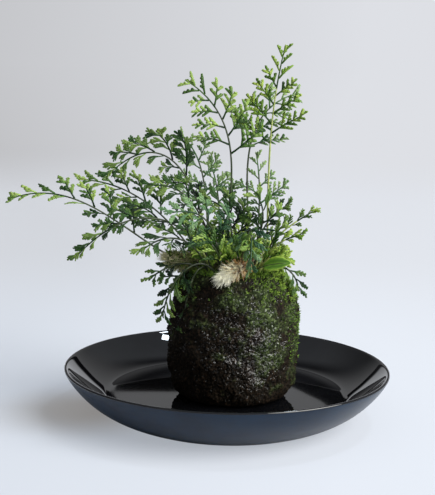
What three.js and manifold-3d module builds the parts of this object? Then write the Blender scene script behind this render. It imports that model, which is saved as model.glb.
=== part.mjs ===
// A moss ball with a hare's-foot fern, standing in a wide, shallow glazed dish.
// Millimetres, +Z up. Everything is drawn from the middle of the dish's foot; the last
// lines move the whole, so that the middle of the bottom of its box is the origin.

import * as THREE from "three";
import { mergeVertices } from "three/addons/utils/BufferGeometryUtils.js";
import Module from "manifold-3d";

const wasm = await Module();
wasm.setup();

// Driving dimensions of the dish
const RIM_RADIUS = 105;
const RIM_HEIGHT = 32.5;
const FLOOR_HEIGHT = 14.7;
const FLOOR_RADIUS = 77;
const FOOT_RADIUS = 66.6;
const FOOT_WIDTH = 6;
const FOOT_DEPTH = 9.2;
const DISH_SEGMENTS = 48;

// Driving dimensions of the ball
const GAP = 0.3;
const BALL_CENTRE = new THREE.Vector2(3.6, -5);
const BALL_BOTTOM = FLOOR_HEIGHT + GAP;
const BALL_RADIUS = 41.3;
const FLAT_SPOT_RADIUS = 29;
const SOIL_TOP = 95.5;
const MOSS_TOP = 96;
const OPENING_RADIUS = 27;
const BALL_SEGMENTS = 32;
const CORE_SEGMENTS = 20;
const RELIEF = 0.9;

// Stipes and the plain holes that they stand in
const STIPE_HALF_WIDTH = 0.75;
const RIB_HALF_THICKNESS = 0.6;
const BLADE_HALF_THICKNESS = 0.42;
const STIPE_STATION = 9;
const BARE_END = 2;
const TIP_HALF_WIDTH = 0.5;
const ROOT_LENGTH = 7;
const HOLE_RADIUS = 1.5;
const HOLE_LENGTH = 7.6;

// Leaf cutting: half widths of the ribs, where a leaflet's lobes start and how much of it they
// cover, how far and at what angle they reach, how much later those of its upper edge sit, and
// how the leaflets crowd, narrow in angle and shorten towards the tip of the frond
const RIB_HALF_WIDTH = 0.45;
const LEAFLET_RIB = 0.45;
const LEAFLET_NARROWING = 0.5;
const LEAFLET_FOOT = 0.65;
const FIRST_LOBE = 0.2;
const LOBED_SHARE = 0.66;
const LOBE_LEAD = 0.35;
const UPPER_SHIFT = 0.4;
const LOBE_REACH = 0.36;
const LOBE_SHORTENING = 0.75;
const LOBE_ANGLE = THREE.MathUtils.degToRad(48);
const LOBE_ROOM = 0.42;
const CROWDING = 1.3;
const ANGLE_LOSS = 16;
const SHORTEST_LEAFLET = 3;

// Arching of a blade: droop per millimetre squared, and a gentle wave along the rib
const DROOP = 0.006;
const WAVE = 0.14;
const WAVE_LENGTH = 23;

// The furry creeping stems over the top of the ball: four points on each one's middle line,
// from where it leaves the soil to its tip, and its radius
const RHIZOMES = {
  rhizome_front: {
    through: [[7, -12, 99.0], [8, -22, 100.4], [4, -33, 100.8], [-4.5, -43, 97.6]],
    radius: 4.5,
    colour: "#d9cba4",
  },
  rhizome_left: {
    through: [[-3, -9, 99.4], [-14, -10, 101.0], [-27, -11.5, 102.1], [-40, -13, 103.2]],
    radius: 5.7,
    colour: "#8d7f62",
  },
  rhizome_back: {
    through: [[3, 6, 98.9], [0, 17, 100.7], [-3, 27, 99.2], [-5, 37, 91.6]],
    radius: 4.2,
    colour: "#9a8a66",
  },
  rhizome_bud: {
    through: [[-1.6, -18, 95.8], [-2.6, -19.4, 100.1], [-4, -20.6, 104.3], [-6, -21.4, 108]],
    radius: 1.8,
    colour: "#cfc79c",
  },
};

const DARK = "#2c5430";
const TEAL = "#3b6a55";
const LEAF = "#467a34";
const BRIGHT = "#78aa38";

// The fronds: four points on each rib from the soil to the tip, the way its upper face
// looks, how far its two halves fold up (degrees), the share of it that is bare stipe, the
// length of its lowest leaflet, how fast the others shorten, the angle that they leave the
// rib at (degrees), how many there are, the lobes on each side of the lowest one, and the
// side that it is on
const FRONDS = {
  tall_right: {
    through: [[24, 4, SOIL_TOP], [24, 12, 142], [25.5, 17, 189], [33, 22, 238]],
    facing: [-0.2, -1, 0.1], fold: 12, bare: 0.56,
    reach: 31, taper: 1.25, spread: 48, leaflets: 12, lobes: 4, side: 1, colour: BRIGHT,
  },
  tall_left: {
    through: [[0, -2, SOIL_TOP], [-0.5, -3, 139], [-3, -5, 181], [-30, -9, 215]],
    facing: [0.2, -1, 0.15], fold: 10, bare: 0.57,
    reach: 26, taper: 1, spread: 56, leaflets: 12, lobes: 3, side: -1, colour: LEAF,
  },
  back_right: {
    through: [[11, 7, SOIL_TOP], [11, 17, 137], [14, 28, 180], [44, 42, 207]],
    facing: [-0.3, -0.9, 0.4], fold: 10, bare: 0.6,
    reach: 24, taper: 0.9, spread: 56, leaflets: 10, lobes: 3, side: -1, colour: LEAF,
  },
  back_sprig: {
    through: [[18, 11, SOIL_TOP], [18.5, 21, 118], [19, 31, 143], [16, 38, 168]],
    facing: [0, -1, 0.4], fold: 5, bare: 0.55,
    reach: 21, taper: 1.9, spread: 52, leaflets: 7, lobes: 3, side: -1, colour: BRIGHT,
  },
  back_left_small: {
    through: [[-8, 11, SOIL_TOP], [-7, 25, 120], [-9, 38, 143], [-16, 49, 163]],
    facing: [0, -1, 0.5], fold: 10, bare: 0.5,
    reach: 16, taper: 1, spread: 54, leaflets: 8, lobes: 2, side: 1, colour: BRIGHT,
  },
  back_mid: {
    through: [[-12, 6, SOIL_TOP], [-15, 19, 126], [-20, 32, 157], [-36, 45, 178]],
    facing: [0.2, -0.9, 0.5], fold: 15, bare: 0.42,
    reach: 22, taper: 1, spread: 54, leaflets: 10, lobes: 3, side: 1, colour: TEAL,
  },
  arch_upper_left: {
    through: [[-15, 2, SOIL_TOP], [-20, 4, 134], [-41, 4, 166], [-78, -4, 154]],
    facing: [0.1, -1, 0.45], fold: 18, bare: 0.45,
    reach: 22, taper: 0.8, spread: 52, leaflets: 12, lobes: 3, side: 1, colour: DARK,
  },
  mid_left: {
    through: [[-17, 6, SOIL_TOP], [-38, 14, 121], [-65, 18, 141], [-99, 17, 149]],
    facing: [0.1, -0.9, 0.6], fold: 20, bare: 0.36,
    reach: 22, taper: 1, spread: 54, leaflets: 12, lobes: 3, side: 1, colour: LEAF,
  },
  long_left: {
    through: [[-19, -1, SOIL_TOP], [-58, -9, 117], [-96, -11, 139], [-140, -9, 138]],
    facing: [0.1, -0.75, 0.7], fold: 30, bare: 0.36,
    reach: 25, taper: 0.85, spread: 54, leaflets: 14, lobes: 3, side: -1, colour: LEAF,
  },
  droop_left: {
    through: [[-11, 0, SOIL_TOP], [-34, -16, 125], [-63, -29, 129], [-94, -40, 107]],
    facing: [0, -0.7, 0.8], fold: 25, bare: 0.42,
    reach: 18, taper: 0.9, spread: 50, leaflets: 12, lobes: 3, side: 1, colour: DARK,
  },
  left_inner: {
    through: [[-6, 4, SOIL_TOP], [-17, -3, 126], [-31, -9, 145], [-52, -13, 149]],
    facing: [0.1, -1, 0.6], fold: 15, bare: 0.46,
    reach: 14, taper: 0.8, spread: 54, leaflets: 10, lobes: 3, side: 1, colour: DARK,
  },
  front_left: {
    through: [[-13, -19, SOIL_TOP], [-22, -28, 113], [-36, -41, 121], [-53, -57, 115]],
    facing: [-0.2, -0.8, 0.7], fold: 10, bare: 0.36,
    reach: 16, taper: 0.9, spread: 54, leaflets: 9, lobes: 2, side: -1, colour: DARK,
  },
  front_centre: {
    through: [[-6, -18.5, SOIL_TOP], [-9, -27, 118], [-18, -36, 134], [-39, -44, 136]],
    facing: [0, -1, 0.5], fold: 12, bare: 0.34,
    reach: 17, taper: 0.9, spread: 56, leaflets: 10, lobes: 3, side: 1, colour: TEAL,
  },
  front_drop: {
    through: [[9, -2, SOIL_TOP], [11, -15, 122], [12.5, -33, 123], [12, -47, 102]],
    facing: [-0.3, 0, 1], fold: 5, bare: 0.46,
    reach: 15, taper: 0.8, spread: 56, leaflets: 9, lobes: 3, side: -1, colour: TEAL,
  },
  right_low: {
    through: [[17, -6, SOIL_TOP], [27, -5, 114], [39, -6, 126], [55, -8, 137]],
    facing: [-0.1, -1, 0.4], fold: 15, bare: 0.4,
    reach: 13, taper: 1, spread: 50, leaflets: 9, lobes: 2, side: 1, colour: BRIGHT,
  },
  right_low_front: {
    through: [[18.5, -14, SOIL_TOP], [24, -17, 109], [33, -22, 118], [45, -29, 123]],
    facing: [-0.1, -0.9, 0.6], fold: 15, bare: 0.34,
    reach: 12, taper: 1, spread: 54, leaflets: 8, lobes: 2, side: -1, colour: BRIGHT,
  },
  right_short: {
    through: [[16, 1, SOIL_TOP], [18, 3, 111], [24, 4, 126], [38, 3, 138]],
    facing: [-0.1, -1, 0.3], fold: 10, bare: 0.38,
    reach: 15, taper: 0.8, spread: 54, leaflets: 8, lobes: 2, side: -1, colour: DARK,
  },
  mid_short: {
    through: [[4, -3, SOIL_TOP], [4, -4.5, 110], [2, -6, 127], [-5, -6.8, 141]],
    facing: [0, -1, 0.3], fold: 10, bare: 0.4,
    reach: 15, taper: 0.8, spread: 54, leaflets: 8, lobes: 2, side: 1, colour: DARK,
  },
  centre_dark: {
    through: [[-1.2, -14.8, SOIL_TOP], [1, -13, 117], [-3, -13, 134], [-19, -13, 142]],
    facing: [0.05, -1, 0.5], fold: 8, bare: 0.5,
    reach: 14, taper: 0.8, spread: 52, leaflets: 8, lobes: 2, side: -1, colour: DARK,
  },
  centre_top: {
    through: [[13.2, -9.3, SOIL_TOP], [17.5, -12.5, 116], [20, -16, 133], [14, -19, 147]],
    facing: [0, -1, 0.4], fold: 8, bare: 0.54,
    reach: 13, taper: 0.8, spread: 52, leaflets: 7, lobes: 2, side: 1, colour: LEAF,
  },
  centre_green: {
    through: [[-2.5, -24, SOIL_TOP], [-6, -32, 107], [-11, -39, 117], [-19, -45, 124]],
    facing: [0, -1, 0.3], fold: 8, bare: 0.35,
    reach: 10, taper: 0.8, spread: 50, leaflets: 7, lobes: 2, side: 1, colour: BRIGHT,
  },
  right_mid: {
    through: [[21, -9.5, SOIL_TOP], [24, -10.5, 107], [27.5, -12, 118], [35, -14, 129]],
    facing: [-0.1, -1, 0.3], fold: 8, bare: 0.35,
    reach: 11, taper: 0.8, spread: 52, leaflets: 7, lobes: 2, side: 1, colour: LEAF,
  },
  left_short: {
    through: [[-10, -17, SOIL_TOP], [-15, -16.3, 108], [-20, -17, 121], [-27.5, -18, 133]],
    facing: [0.1, -1, 0.3], fold: 8, bare: 0.4,
    reach: 11, taper: 0.8, spread: 52, leaflets: 7, lobes: 2, side: 1, colour: LEAF,
  },
  hang_left: {
    through: [[-8, -24, SOIL_TOP], [-20, -29.5, 103.5], [-33, -34.5, 93.5], [-40.5, -34, 70]],
    facing: [-0.5, -0.8, 0.5], fold: 10, bare: 0.45,
    reach: 10, taper: 0.8, spread: 52, leaflets: 8, lobes: 2, side: 1, colour: DARK,
  },
  left_sprig: {
    through: [[-17.5, -16, SOIL_TOP], [-26.5, -20, 102], [-39, -23, 99.5], [-50, -27, 92]],
    facing: [0, -0.7, 0.8], fold: 10, bare: 0.5,
    reach: 5.5, taper: 0.8, spread: 50, leaflets: 6, lobes: 1, side: 1, colour: DARK,
  },
  right_sprig: {
    through: [[23.5, -13.5, SOIL_TOP], [31, -17, 101], [39, -19, 97], [43.5, -21, 86]],
    facing: [0.2, -0.8, 0.7], fold: 10, bare: 0.45,
    reach: 7, taper: 0.8, spread: 50, leaflets: 6, lobes: 1, side: -1, colour: DARK,
  },
};

// The one broad leaf low on the right
const ROUND_LEAF = {
  through: [[13.5, -23, SOIL_TOP], [18, -28, 101.5], [27, -33, 105], [37, -36, 106.5]],
  facing: [0.15, -0.75, 0.65],
  fold: 12,
  bare: 0.42,
  halfWidth: 5.5,
  colour: BRIGHT,
};

function material(colour, roughness) {
  return new THREE.MeshStandardMaterial({ color: colour, roughness, metalness: 0 });
}

function named(name, geometry, colour, roughness) {
  const mesh = new THREE.Mesh(geometry, material(colour, roughness));
  mesh.name = name;
  return mesh;
}

// Plain solids for cutting

function positionsOnly(geometry) {
  const bare = new THREE.BufferGeometry();
  bare.setAttribute("position", geometry.getAttribute("position").clone());
  bare.setIndex(geometry.index);
  return mergeVertices(bare, 1e-4);
}

function toSolid(geometry) {
  const merged = positionsOnly(geometry);
  const vertProperties = new Float32Array(merged.getAttribute("position").array);
  const triVerts = new Uint32Array(merged.index.array);
  return new wasm.Manifold(new wasm.Mesh({ numProp: 3, vertProperties, triVerts }));
}

function toGeometry(solid) {
  const mesh = solid.getMesh();
  const geometry = new THREE.BufferGeometry();
  geometry.setAttribute("position", new THREE.Float32BufferAttribute(mesh.vertProperties, 3));
  geometry.setIndex(new THREE.Uint32BufferAttribute(mesh.triVerts, 1));
  return geometry;
}

// Turned forms: a profile of [radius, height] pairs spun about +Z

function turned(profile, segments) {
  const points = profile.map(([radius, height]) => new THREE.Vector2(radius, height));
  return new THREE.LatheGeometry(points, segments).rotateX(Math.PI / 2);
}

function moveVertices(geometry, place) {
  const positions = geometry.getAttribute("position");
  const point = new THREE.Vector3();
  for (let i = 0; i < positions.count; i++) {
    point.fromBufferAttribute(positions, i);
    place(point, i);
    positions.setXYZ(i, point.x, point.y, point.z);
  }
  return geometry;
}

// A rib: a smooth curve through four points, with a frame that follows it.
// along is the way it runs, across is sideways in the blade and up is out of its face.

function ribCurve(through) {
  const [start, second, third, end] = through.map((p) => new THREE.Vector3(...p));
  const blend = (a, b, c, d) => new THREE.Vector3()
    .addScaledVector(start, a)
    .addScaledVector(second, b)
    .addScaledVector(third, c)
    .addScaledVector(end, d);
  const handleOut = blend(-5 / 6, 3, -1.5, 1 / 3);
  const handleIn = blend(1 / 3, -1.5, 3, -5 / 6);
  return new THREE.CubicBezierCurve3(start, handleOut, handleIn, end);
}

function ribFrame(rib, distance) {
  const share = THREE.MathUtils.clamp(distance / rib.length, 0, 1);
  const along = rib.curve.getTangentAt(share);
  const across = new THREE.Vector3().crossVectors(rib.facing, along).normalize();
  const up = new THREE.Vector3().crossVectors(along, across);
  const point = rib.curve.getPointAt(share);
  point.addScaledVector(along, distance - share * rib.length);
  return { point, along, across, up };
}

function makeRib({ through, facing }) {
  const curve = ribCurve(through);
  curve.arcLengthDivisions = 400;
  return { curve, length: curve.getLength(), facing: new THREE.Vector3(...facing).normalize() };
}

// Fronds: a flat plan with leaflets cut to the rib, laid along the rib and arched

// The two edges of a leaflet, from the rib outwards: notches, which lie along the leaflet's
// own rib, with a lobe tip between each two. room is how far its lobes may reach sideways.
function leafletEdges({ at, side, angle, length, lobes, room }) {
  const along = new THREE.Vector2(Math.cos(angle), side * Math.sin(angle));
  const back = new THREE.Vector2(-Math.sin(angle), side * Math.cos(angle));
  const root = new THREE.Vector2(at, side * RIB_HALF_WIDTH);
  const spot = (reach, offset, onRib) => ({
    point: root.clone().addScaledVector(along, reach).addScaledVector(back, offset),
    reach,
    onRib,
  });
  const onEdge = (shift) => ({
    point: new THREE.Vector2(at + shift, root.y),
    reach: 0,
    onRib: true,
  });
  const halfRib = (reach) => LEAFLET_RIB * (1.2 - LEAFLET_NARROWING * (reach / length));
  const lower = [onEdge(-LEAFLET_FOOT)];
  const upper = [onEdge(LEAFLET_FOOT)];
  const spacing = (LOBED_SHARE * length) / lobes;
  for (let lobe = 0; lobe < lobes; lobe++) {
    const notch = FIRST_LOBE * length + lobe * spacing;
    const shifted = notch + UPPER_SHIFT * spacing;
    const longest = LOBE_REACH * (length - LOBE_SHORTENING * notch);
    const lobeLength = Math.min(longest, room / Math.sin(LOBE_ANGLE));
    const forward = LOBE_LEAD * spacing + lobeLength * Math.cos(LOBE_ANGLE);
    const out = LEAFLET_RIB + lobeLength * Math.sin(LOBE_ANGLE);
    lower.push(spot(notch, halfRib(notch), true), spot(notch + forward, out, false));
    upper.push(spot(shifted, -halfRib(shifted), true), spot(shifted + forward, -out, false));
  }
  const lastNotch = (FIRST_LOBE + LOBED_SHARE) * length;
  const nearEnd = (lastNotch + length) / 2;
  lower.push(spot(lastNotch, halfRib(lastNotch), true), spot(length, LEAFLET_RIB, true));
  upper.push(spot(nearEnd, -halfRib(nearEnd), true), spot(length, -LEAFLET_RIB, true));
  return { lower, upper };
}

function leafletStation(frond, index) {
  return 1 - Math.max(0, 1 - index / (frond.leaflets + 0.6)) ** CROWDING;
}

// One side of a frond in the flat, from the soil to the tip: the points of its edge, which
// of them lie on the rib, and the edges of its leaflets as numbered points
function frondSide(frond, length, side) {
  const bladeStart = frond.bare * length;
  const bladeLength = length - bladeStart;
  const points = [new THREE.Vector2(-ROOT_LENGTH, side * STIPE_HALF_WIDTH)];
  const stations = Math.ceil(bladeStart / STIPE_STATION);
  for (let i = 0; i <= stations; i++) {
    const distance = (i / stations) * (bladeStart - BARE_END);
    points.push(new THREE.Vector2(distance, side * STIPE_HALF_WIDTH));
  }
  const ribRun = points.map((_, index) => index);
  const leaflets = [];
  const first = side === frond.side ? 0 : 1;
  for (let i = first; i < frond.leaflets; i += 2) {
    const share = leafletStation(frond, i);
    const angle = THREE.MathUtils.degToRad(frond.spread - ANGLE_LOSS * share);
    const toNext = (leafletStation(frond, i + 2) - share) * bladeLength;
    const { lower, upper } = leafletEdges({
      at: bladeStart + share * bladeLength,
      side,
      angle,
      length: frond.reach * (1 - share) ** frond.taper + SHORTEST_LEAFLET,
      lobes: Math.max(1, Math.round(frond.lobes * (1 - share))),
      room: LOBE_ROOM * toNext * Math.sin(angle),
    });
    const numbered = (edge, start, step) =>
      edge.map((spot, index) => ({ ...spot, index: start + step * index }));
    const finish = points.length + lower.length + upper.length - 1;
    const leaflet = {
      lower: numbered(lower, points.length, 1),
      upper: numbered(upper, finish, -1),
    };
    leaflets.push(leaflet);
    ribRun.push(leaflet.lower[0].index, leaflet.upper[0].index);
    points.push(...lower.map((spot) => spot.point), ...upper.reverse().map((spot) => spot.point));
  }
  ribRun.push(points.length);
  points.push(new THREE.Vector2(length, side * TIP_HALF_WIDTH));
  return { points, ribRun, leaflets };
}

// The strip of triangles between two runs of points that go the same way
function strip(right, left, reachOf) {
  const faces = [];
  let i = 0;
  let j = 0;
  while (i < right.length - 1 || j < left.length - 1) {
    const rightNext = i < right.length - 1 ? reachOf(right[i + 1]) : Infinity;
    const leftNext = j < left.length - 1 ? reachOf(left[j + 1]) : Infinity;
    if (rightNext < leftNext) {
      faces.push([right[i], right[i + 1], left[j]]);
      i += 1;
    } else {
      faces.push([right[i], left[j + 1], left[j]]);
      j += 1;
    }
  }
  return faces;
}

function leafletFaces({ lower, upper }) {
  const onRib = (edge) => edge.filter((spot) => spot.onRib);
  const faces = strip(onRib(lower), onRib(upper), (spot) => spot.reach);
  lower.forEach((spot, k) => spot.onRib || faces.push([lower[k - 1], spot, lower[k + 1]]));
  upper.forEach((spot, k) => spot.onRib || faces.push([upper[k + 1], spot, upper[k - 1]]));
  return faces.map((face) => face.map((spot) => spot.index));
}

function frondPlan(frond, length) {
  const right = frondSide(frond, length, -1);
  const left = frondSide(frond, length, 1);
  const outline = [...right.points, ...left.points.reverse()];
  const last = outline.length - 1;
  const mirrored = (index) => last - index;
  const faces = strip(right.ribRun, left.ribRun.map(mirrored), (index) => outline[index].x);
  faces.push(...right.leaflets.flatMap(leafletFaces));
  for (const face of left.leaflets.flatMap(leafletFaces)) {
    faces.push(face.map(mirrored).reverse());
  }
  return { outline, faces };
}

// A flat plan as a thin solid, from -1 to 1 through its face, split alike on both faces
function thinSolid({ outline, faces }) {
  const count = outline.length;
  const positions = [];
  for (const face of [-1, 1]) {
    outline.forEach((point) => positions.push(point.x, point.y, face));
  }
  const index = [];
  for (const [a, b, c] of faces) {
    index.push(a + count, b + count, c + count, a, c, b);
  }
  for (let i = 0; i < count; i++) {
    const next = (i + 1) % count;
    index.push(i, next, next + count, i, next + count, i + count);
  }
  const geometry = new THREE.BufferGeometry();
  geometry.setAttribute("position", new THREE.Float32BufferAttribute(positions, 3));
  geometry.setIndex(index);
  return geometry;
}

function layOnRib(geometry, rib, foldDegrees) {
  const fold = THREE.MathUtils.degToRad(foldDegrees);
  return moveVertices(geometry, (point) => {
    const { x: distance, y: offset, z: face } = point;
    const frame = ribFrame(rib, distance);
    const span = Math.abs(offset);
    const thickness = span > STIPE_HALF_WIDTH ? BLADE_HALF_THICKNESS : RIB_HALF_THICKNESS;
    const ripple = WAVE * Math.sin((2 * Math.PI * distance) / WAVE_LENGTH + Math.sign(offset));
    const lift = (Math.sin(fold) + ripple) * span - DROOP * span * span;
    point.copy(frame.point)
      .addScaledVector(frame.across, offset * Math.cos(fold))
      .addScaledVector(frame.up, lift + face * thickness);
  });
}

function makeFrond(name, frond) {
  const rib = makeRib(frond);
  const flat = thinSolid(frondPlan(frond, rib.length));
  return named(name, layOnRib(flat, rib, frond.fold), frond.colour, 0.55);
}

function makeRoundLeaf(leaf) {
  const rib = makeRib(leaf);
  const start = leaf.bare * rib.length;
  const bladeLength = rib.length - start;
  const edge = [0.04, 0.16, 0.34, 0.54, 0.74, 0.9, 0.98].map((share) => {
    const width = leaf.halfWidth * Math.sin(Math.PI * share ** 0.8) ** 0.7;
    return new THREE.Vector2(start + share * bladeLength, width);
  });
  const stations = [-ROOT_LENGTH, 0, 0.3 * start, 0.6 * start, start];
  const stalk = stations.map((u) => new THREE.Vector2(u, STIPE_HALF_WIDTH));
  const left = [...stalk, ...edge];
  const right = left.map((p) => new THREE.Vector2(p.x, -p.y));
  const outline = [...right, ...left.reverse()];
  const rightRun = right.map((_, index) => index);
  const leftRun = rightRun.map((index) => outline.length - 1 - index);
  const faces = strip(rightRun, leftRun, (index) => outline[index].x);
  const flat = thinSolid({ outline, faces });
  return named("round_leaf", layOnRib(flat, rib, leaf.fold), leaf.colour, 0.4);
}

// Rhizomes: a turned rod with round ends, bent along its rib

function makeRhizome(name, { through, radius, colour }) {
  const rib = makeRib({ through, facing: [0.1, 0.3, 1] });
  const swell = (share) => radius * (1 + 0.08 * Math.sin(share * 19));
  const profile = [[0, 0]];
  const stations = 9;
  for (let i = 0; i <= stations; i++) {
    const share = i / stations;
    const roundEnd = Math.sqrt(Math.sin(Math.PI * (0.06 + 0.88 * share)));
    profile.push([swell(share) * roundEnd, rib.length * (0.03 + 0.94 * share)]);
  }
  profile.push([0, rib.length]);
  const rod = turned(profile, 8);
  moveVertices(rod, (point) => {
    const { x, y, z: distance } = point;
    const frame = ribFrame(rib, distance);
    point.copy(frame.point).addScaledVector(frame.across, x).addScaledVector(frame.up, y);
  });
  return named(name, rod, colour, 0.9);
}

// The ball: a mossy wrap with an opening on top, closed round a core of pressed soil

const OUTER_SHARE = [
  [FLAT_SPOT_RADIUS / BALL_RADIUS, 0], [0.85, 0.04], [0.94, 0.12], [0.985, 0.25], [1, 0.42],
  [0.995, 0.58], [0.965, 0.73], [0.905, 0.85], [0.83, 0.93], [0.74, 0.98],
];
const INNER_SHARE = [
  [0.6, 0.055], [0.78, 0.1], [0.86, 0.18], [0.895, 0.3], [0.905, 0.45], [0.9, 0.6],
  [0.87, 0.73], [0.81, 0.85], [0.73, 0.94],
];

function ballProfile(shares) {
  const height = MOSS_TOP - BALL_BOTTOM;
  return shares.map(([radius, rise]) => [radius * BALL_RADIUS, BALL_BOTTOM + rise * height]);
}

function mossRelief(point) {
  const angle = Math.atan2(point.y, point.x);
  const height = point.z;
  const waves = Math.sin(5 * angle + 0.11 * height) + 0.8 * Math.sin(9 * angle - 0.23 * height)
    + 0.7 * Math.sin(0.31 * height + 3 * angle) + 0.5 * Math.sin(14 * angle + 0.4 * height);
  const fade = Math.min(1, (height - BALL_BOTTOM) / 8, Math.max(0, MOSS_TOP - height) / 8);
  const grow = 1 + (RELIEF * fade * waves) / (2 * BALL_RADIUS);
  point.x *= grow;
  point.y *= grow;
}

function makeMossWrap() {
  const outer = [[0, BALL_BOTTOM], ...ballProfile(OUTER_SHARE)];
  const rim = [[OPENING_RADIUS + 1.6, MOSS_TOP], [OPENING_RADIUS, MOSS_TOP - 1]];
  const lining = [[OPENING_RADIUS, SOIL_TOP - 1.2], ...ballProfile(INNER_SHARE).reverse()];
  const profile = [...outer, ...rim, ...lining, [0, lining.at(-1)[1]]];
  const wrap = turned(profile, BALL_SEGMENTS);
  moveVertices(wrap, (point, index) => {
    if (index % profile.length < outer.length) mossRelief(point);
  });
  return named("moss_wrap", wrap.translate(BALL_CENTRE.x, BALL_CENTRE.y, 0), "#2a2a1c", 0.7);
}

function makeSoilCore(ribs) {
  const clear = GAP + 0.3;
  const inner = ballProfile(INNER_SHARE);
  const side = inner.map(([radius, height]) => [radius - clear, height]);
  side[0][1] += clear;
  const top = OPENING_RADIUS - clear;
  const profile = [[0, side[0][1]], ...side, [top, SOIL_TOP - 1.6], [top, SOIL_TOP], [0, SOIL_TOP]];
  const body = turned(profile, CORE_SEGMENTS).translate(BALL_CENTRE.x, BALL_CENTRE.y, 0);
  let solid = toSolid(body);
  for (const rib of ribs) {
    solid = solid.subtract(toSolid(stipeHole(rib)));
  }
  return named("soil_core", toGeometry(solid), "#2b1d14", 0.95);
}

function stipeHole(rib) {
  const { point, along } = ribFrame(rib, 0);
  const above = 8;
  const turn = new THREE.Quaternion().setFromUnitVectors(new THREE.Vector3(0, 1, 0), along);
  const middle = point.clone().addScaledVector(along, (above - HOLE_LENGTH) / 2);
  return new THREE.CylinderGeometry(HOLE_RADIUS, HOLE_RADIUS, HOLE_LENGTH + above, 7)
    .applyQuaternion(turn)
    .translate(middle.x, middle.y, middle.z);
}

// The dish: one turned body with a flat floor, a bowed wall, a thin rim and a foot ring

function makeDish() {
  const profile = [
    [0, FOOT_DEPTH],
    [FOOT_RADIUS - FOOT_WIDTH - 1.5, FOOT_DEPTH],
    [FOOT_RADIUS - FOOT_WIDTH, 0],
    [FOOT_RADIUS, 0],
    [77, 4.1],
    [88, 11],
    [96.5, 19],
    [102, 26],
    [RIM_RADIUS, RIM_HEIGHT - 1.5],
    [RIM_RADIUS - 0.3, RIM_HEIGHT - 0.3],
    [RIM_RADIUS - 1.5, RIM_HEIGHT],
    [RIM_RADIUS - 2.8, RIM_HEIGHT - 0.9],
    [98, 27.4],
    [90, 20.8],
    [83, 16.4],
    [FLOOR_RADIUS, FLOOR_HEIGHT],
    [0, FLOOR_HEIGHT],
  ];
  return named("dish", turned(profile, DISH_SEGMENTS), "#262b33", 0.12);
}

const ribs = [...Object.values(FRONDS), ROUND_LEAF].map(makeRib);
const drawing = new THREE.Group();
drawing.add(makeDish(), makeSoilCore(ribs), makeMossWrap());
for (const [name, rhizome] of Object.entries(RHIZOMES)) {
  drawing.add(makeRhizome(name, rhizome));
}
for (const [name, frond] of Object.entries(FRONDS)) {
  drawing.add(makeFrond(name, frond));
}
drawing.add(makeRoundLeaf(ROUND_LEAF));

const box = new THREE.Box3().setFromObject(drawing, true);
const middle = box.getCenter(new THREE.Vector3());
drawing.position.set(-middle.x, -middle.y, -box.min.z);

const kokedama = new THREE.Group();
kokedama.add(drawing);
kokedama.updateMatrixWorld(true);

export default kokedama;
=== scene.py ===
# %% [markdown]
# # A fern on a moss ball
# A kokedama is a ball of wet peat and clay wrapped in moss, with a plant growing out of it. This
# one carries a hare's-foot fern, whose furry creeping stems lie over the top of the ball, and it
# stands in a wide, shallow, dark dish. The solids of the part come first, as a fixed frame. Each
# step below then takes one of them and makes a finer piece of the same form round it.

# %% Tools and the frame
import math
import random
from bisect import bisect_right
from json import dumps

import bmesh
import bpy
from mathutils import Matrix, Vector, geometry, noise


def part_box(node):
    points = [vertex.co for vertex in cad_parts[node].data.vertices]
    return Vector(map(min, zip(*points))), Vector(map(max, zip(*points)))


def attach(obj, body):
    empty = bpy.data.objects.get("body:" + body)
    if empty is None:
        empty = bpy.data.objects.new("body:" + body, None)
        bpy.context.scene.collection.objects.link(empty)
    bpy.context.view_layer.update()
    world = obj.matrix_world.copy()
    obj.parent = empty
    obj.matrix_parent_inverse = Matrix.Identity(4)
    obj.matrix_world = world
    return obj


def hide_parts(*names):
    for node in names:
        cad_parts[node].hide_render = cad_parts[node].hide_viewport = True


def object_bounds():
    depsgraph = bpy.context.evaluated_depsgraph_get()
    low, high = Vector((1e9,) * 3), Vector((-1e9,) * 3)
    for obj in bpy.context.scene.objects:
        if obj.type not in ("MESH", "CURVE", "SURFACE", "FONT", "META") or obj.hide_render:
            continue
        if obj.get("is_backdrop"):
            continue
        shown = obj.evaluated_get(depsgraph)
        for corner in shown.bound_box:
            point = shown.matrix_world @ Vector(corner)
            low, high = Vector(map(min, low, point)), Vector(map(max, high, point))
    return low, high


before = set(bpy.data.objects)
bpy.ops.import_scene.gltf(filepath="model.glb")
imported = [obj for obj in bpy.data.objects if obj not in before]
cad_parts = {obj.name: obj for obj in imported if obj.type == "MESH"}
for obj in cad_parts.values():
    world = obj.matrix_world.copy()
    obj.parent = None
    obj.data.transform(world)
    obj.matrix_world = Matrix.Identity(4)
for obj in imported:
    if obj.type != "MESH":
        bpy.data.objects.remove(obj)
cad_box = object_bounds()
MM = 0.001
dish_low, dish_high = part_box("dish")
# The plant was drawn from the middle of the dish's foot, so every place below starts there.
ORIGIN = Vector(((dish_low.x + dish_high.x) / 2, (dish_low.y + dish_high.y) / 2, 0))
print("nodes:", len(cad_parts), "middle of the dish, mm:", ORIGIN.x / MM, ORIGIN.y / MM)

# %% [markdown]
# ## The camera
# The photograph was taken with a long lens from a little above the rim, 750 mm away, and the
# camera leaned slightly. The lens and the place were found from the ellipses of the dish's rim
# and floor. Leaning is a turn about the camera's own Z axis.

# %% Camera
CAMERA_DISTANCE = 750
CAMERA_ELEVATION = math.radians(9.19)
CAMERA_LEAN = math.radians(1.25)
CAMERA_TARGET = (-7.8, 0, 109.3)
LENS = 85.55
target = ORIGIN + Vector(CAMERA_TARGET) * MM
backwards = Vector((0, -math.cos(CAMERA_ELEVATION), math.sin(CAMERA_ELEVATION)))

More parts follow.
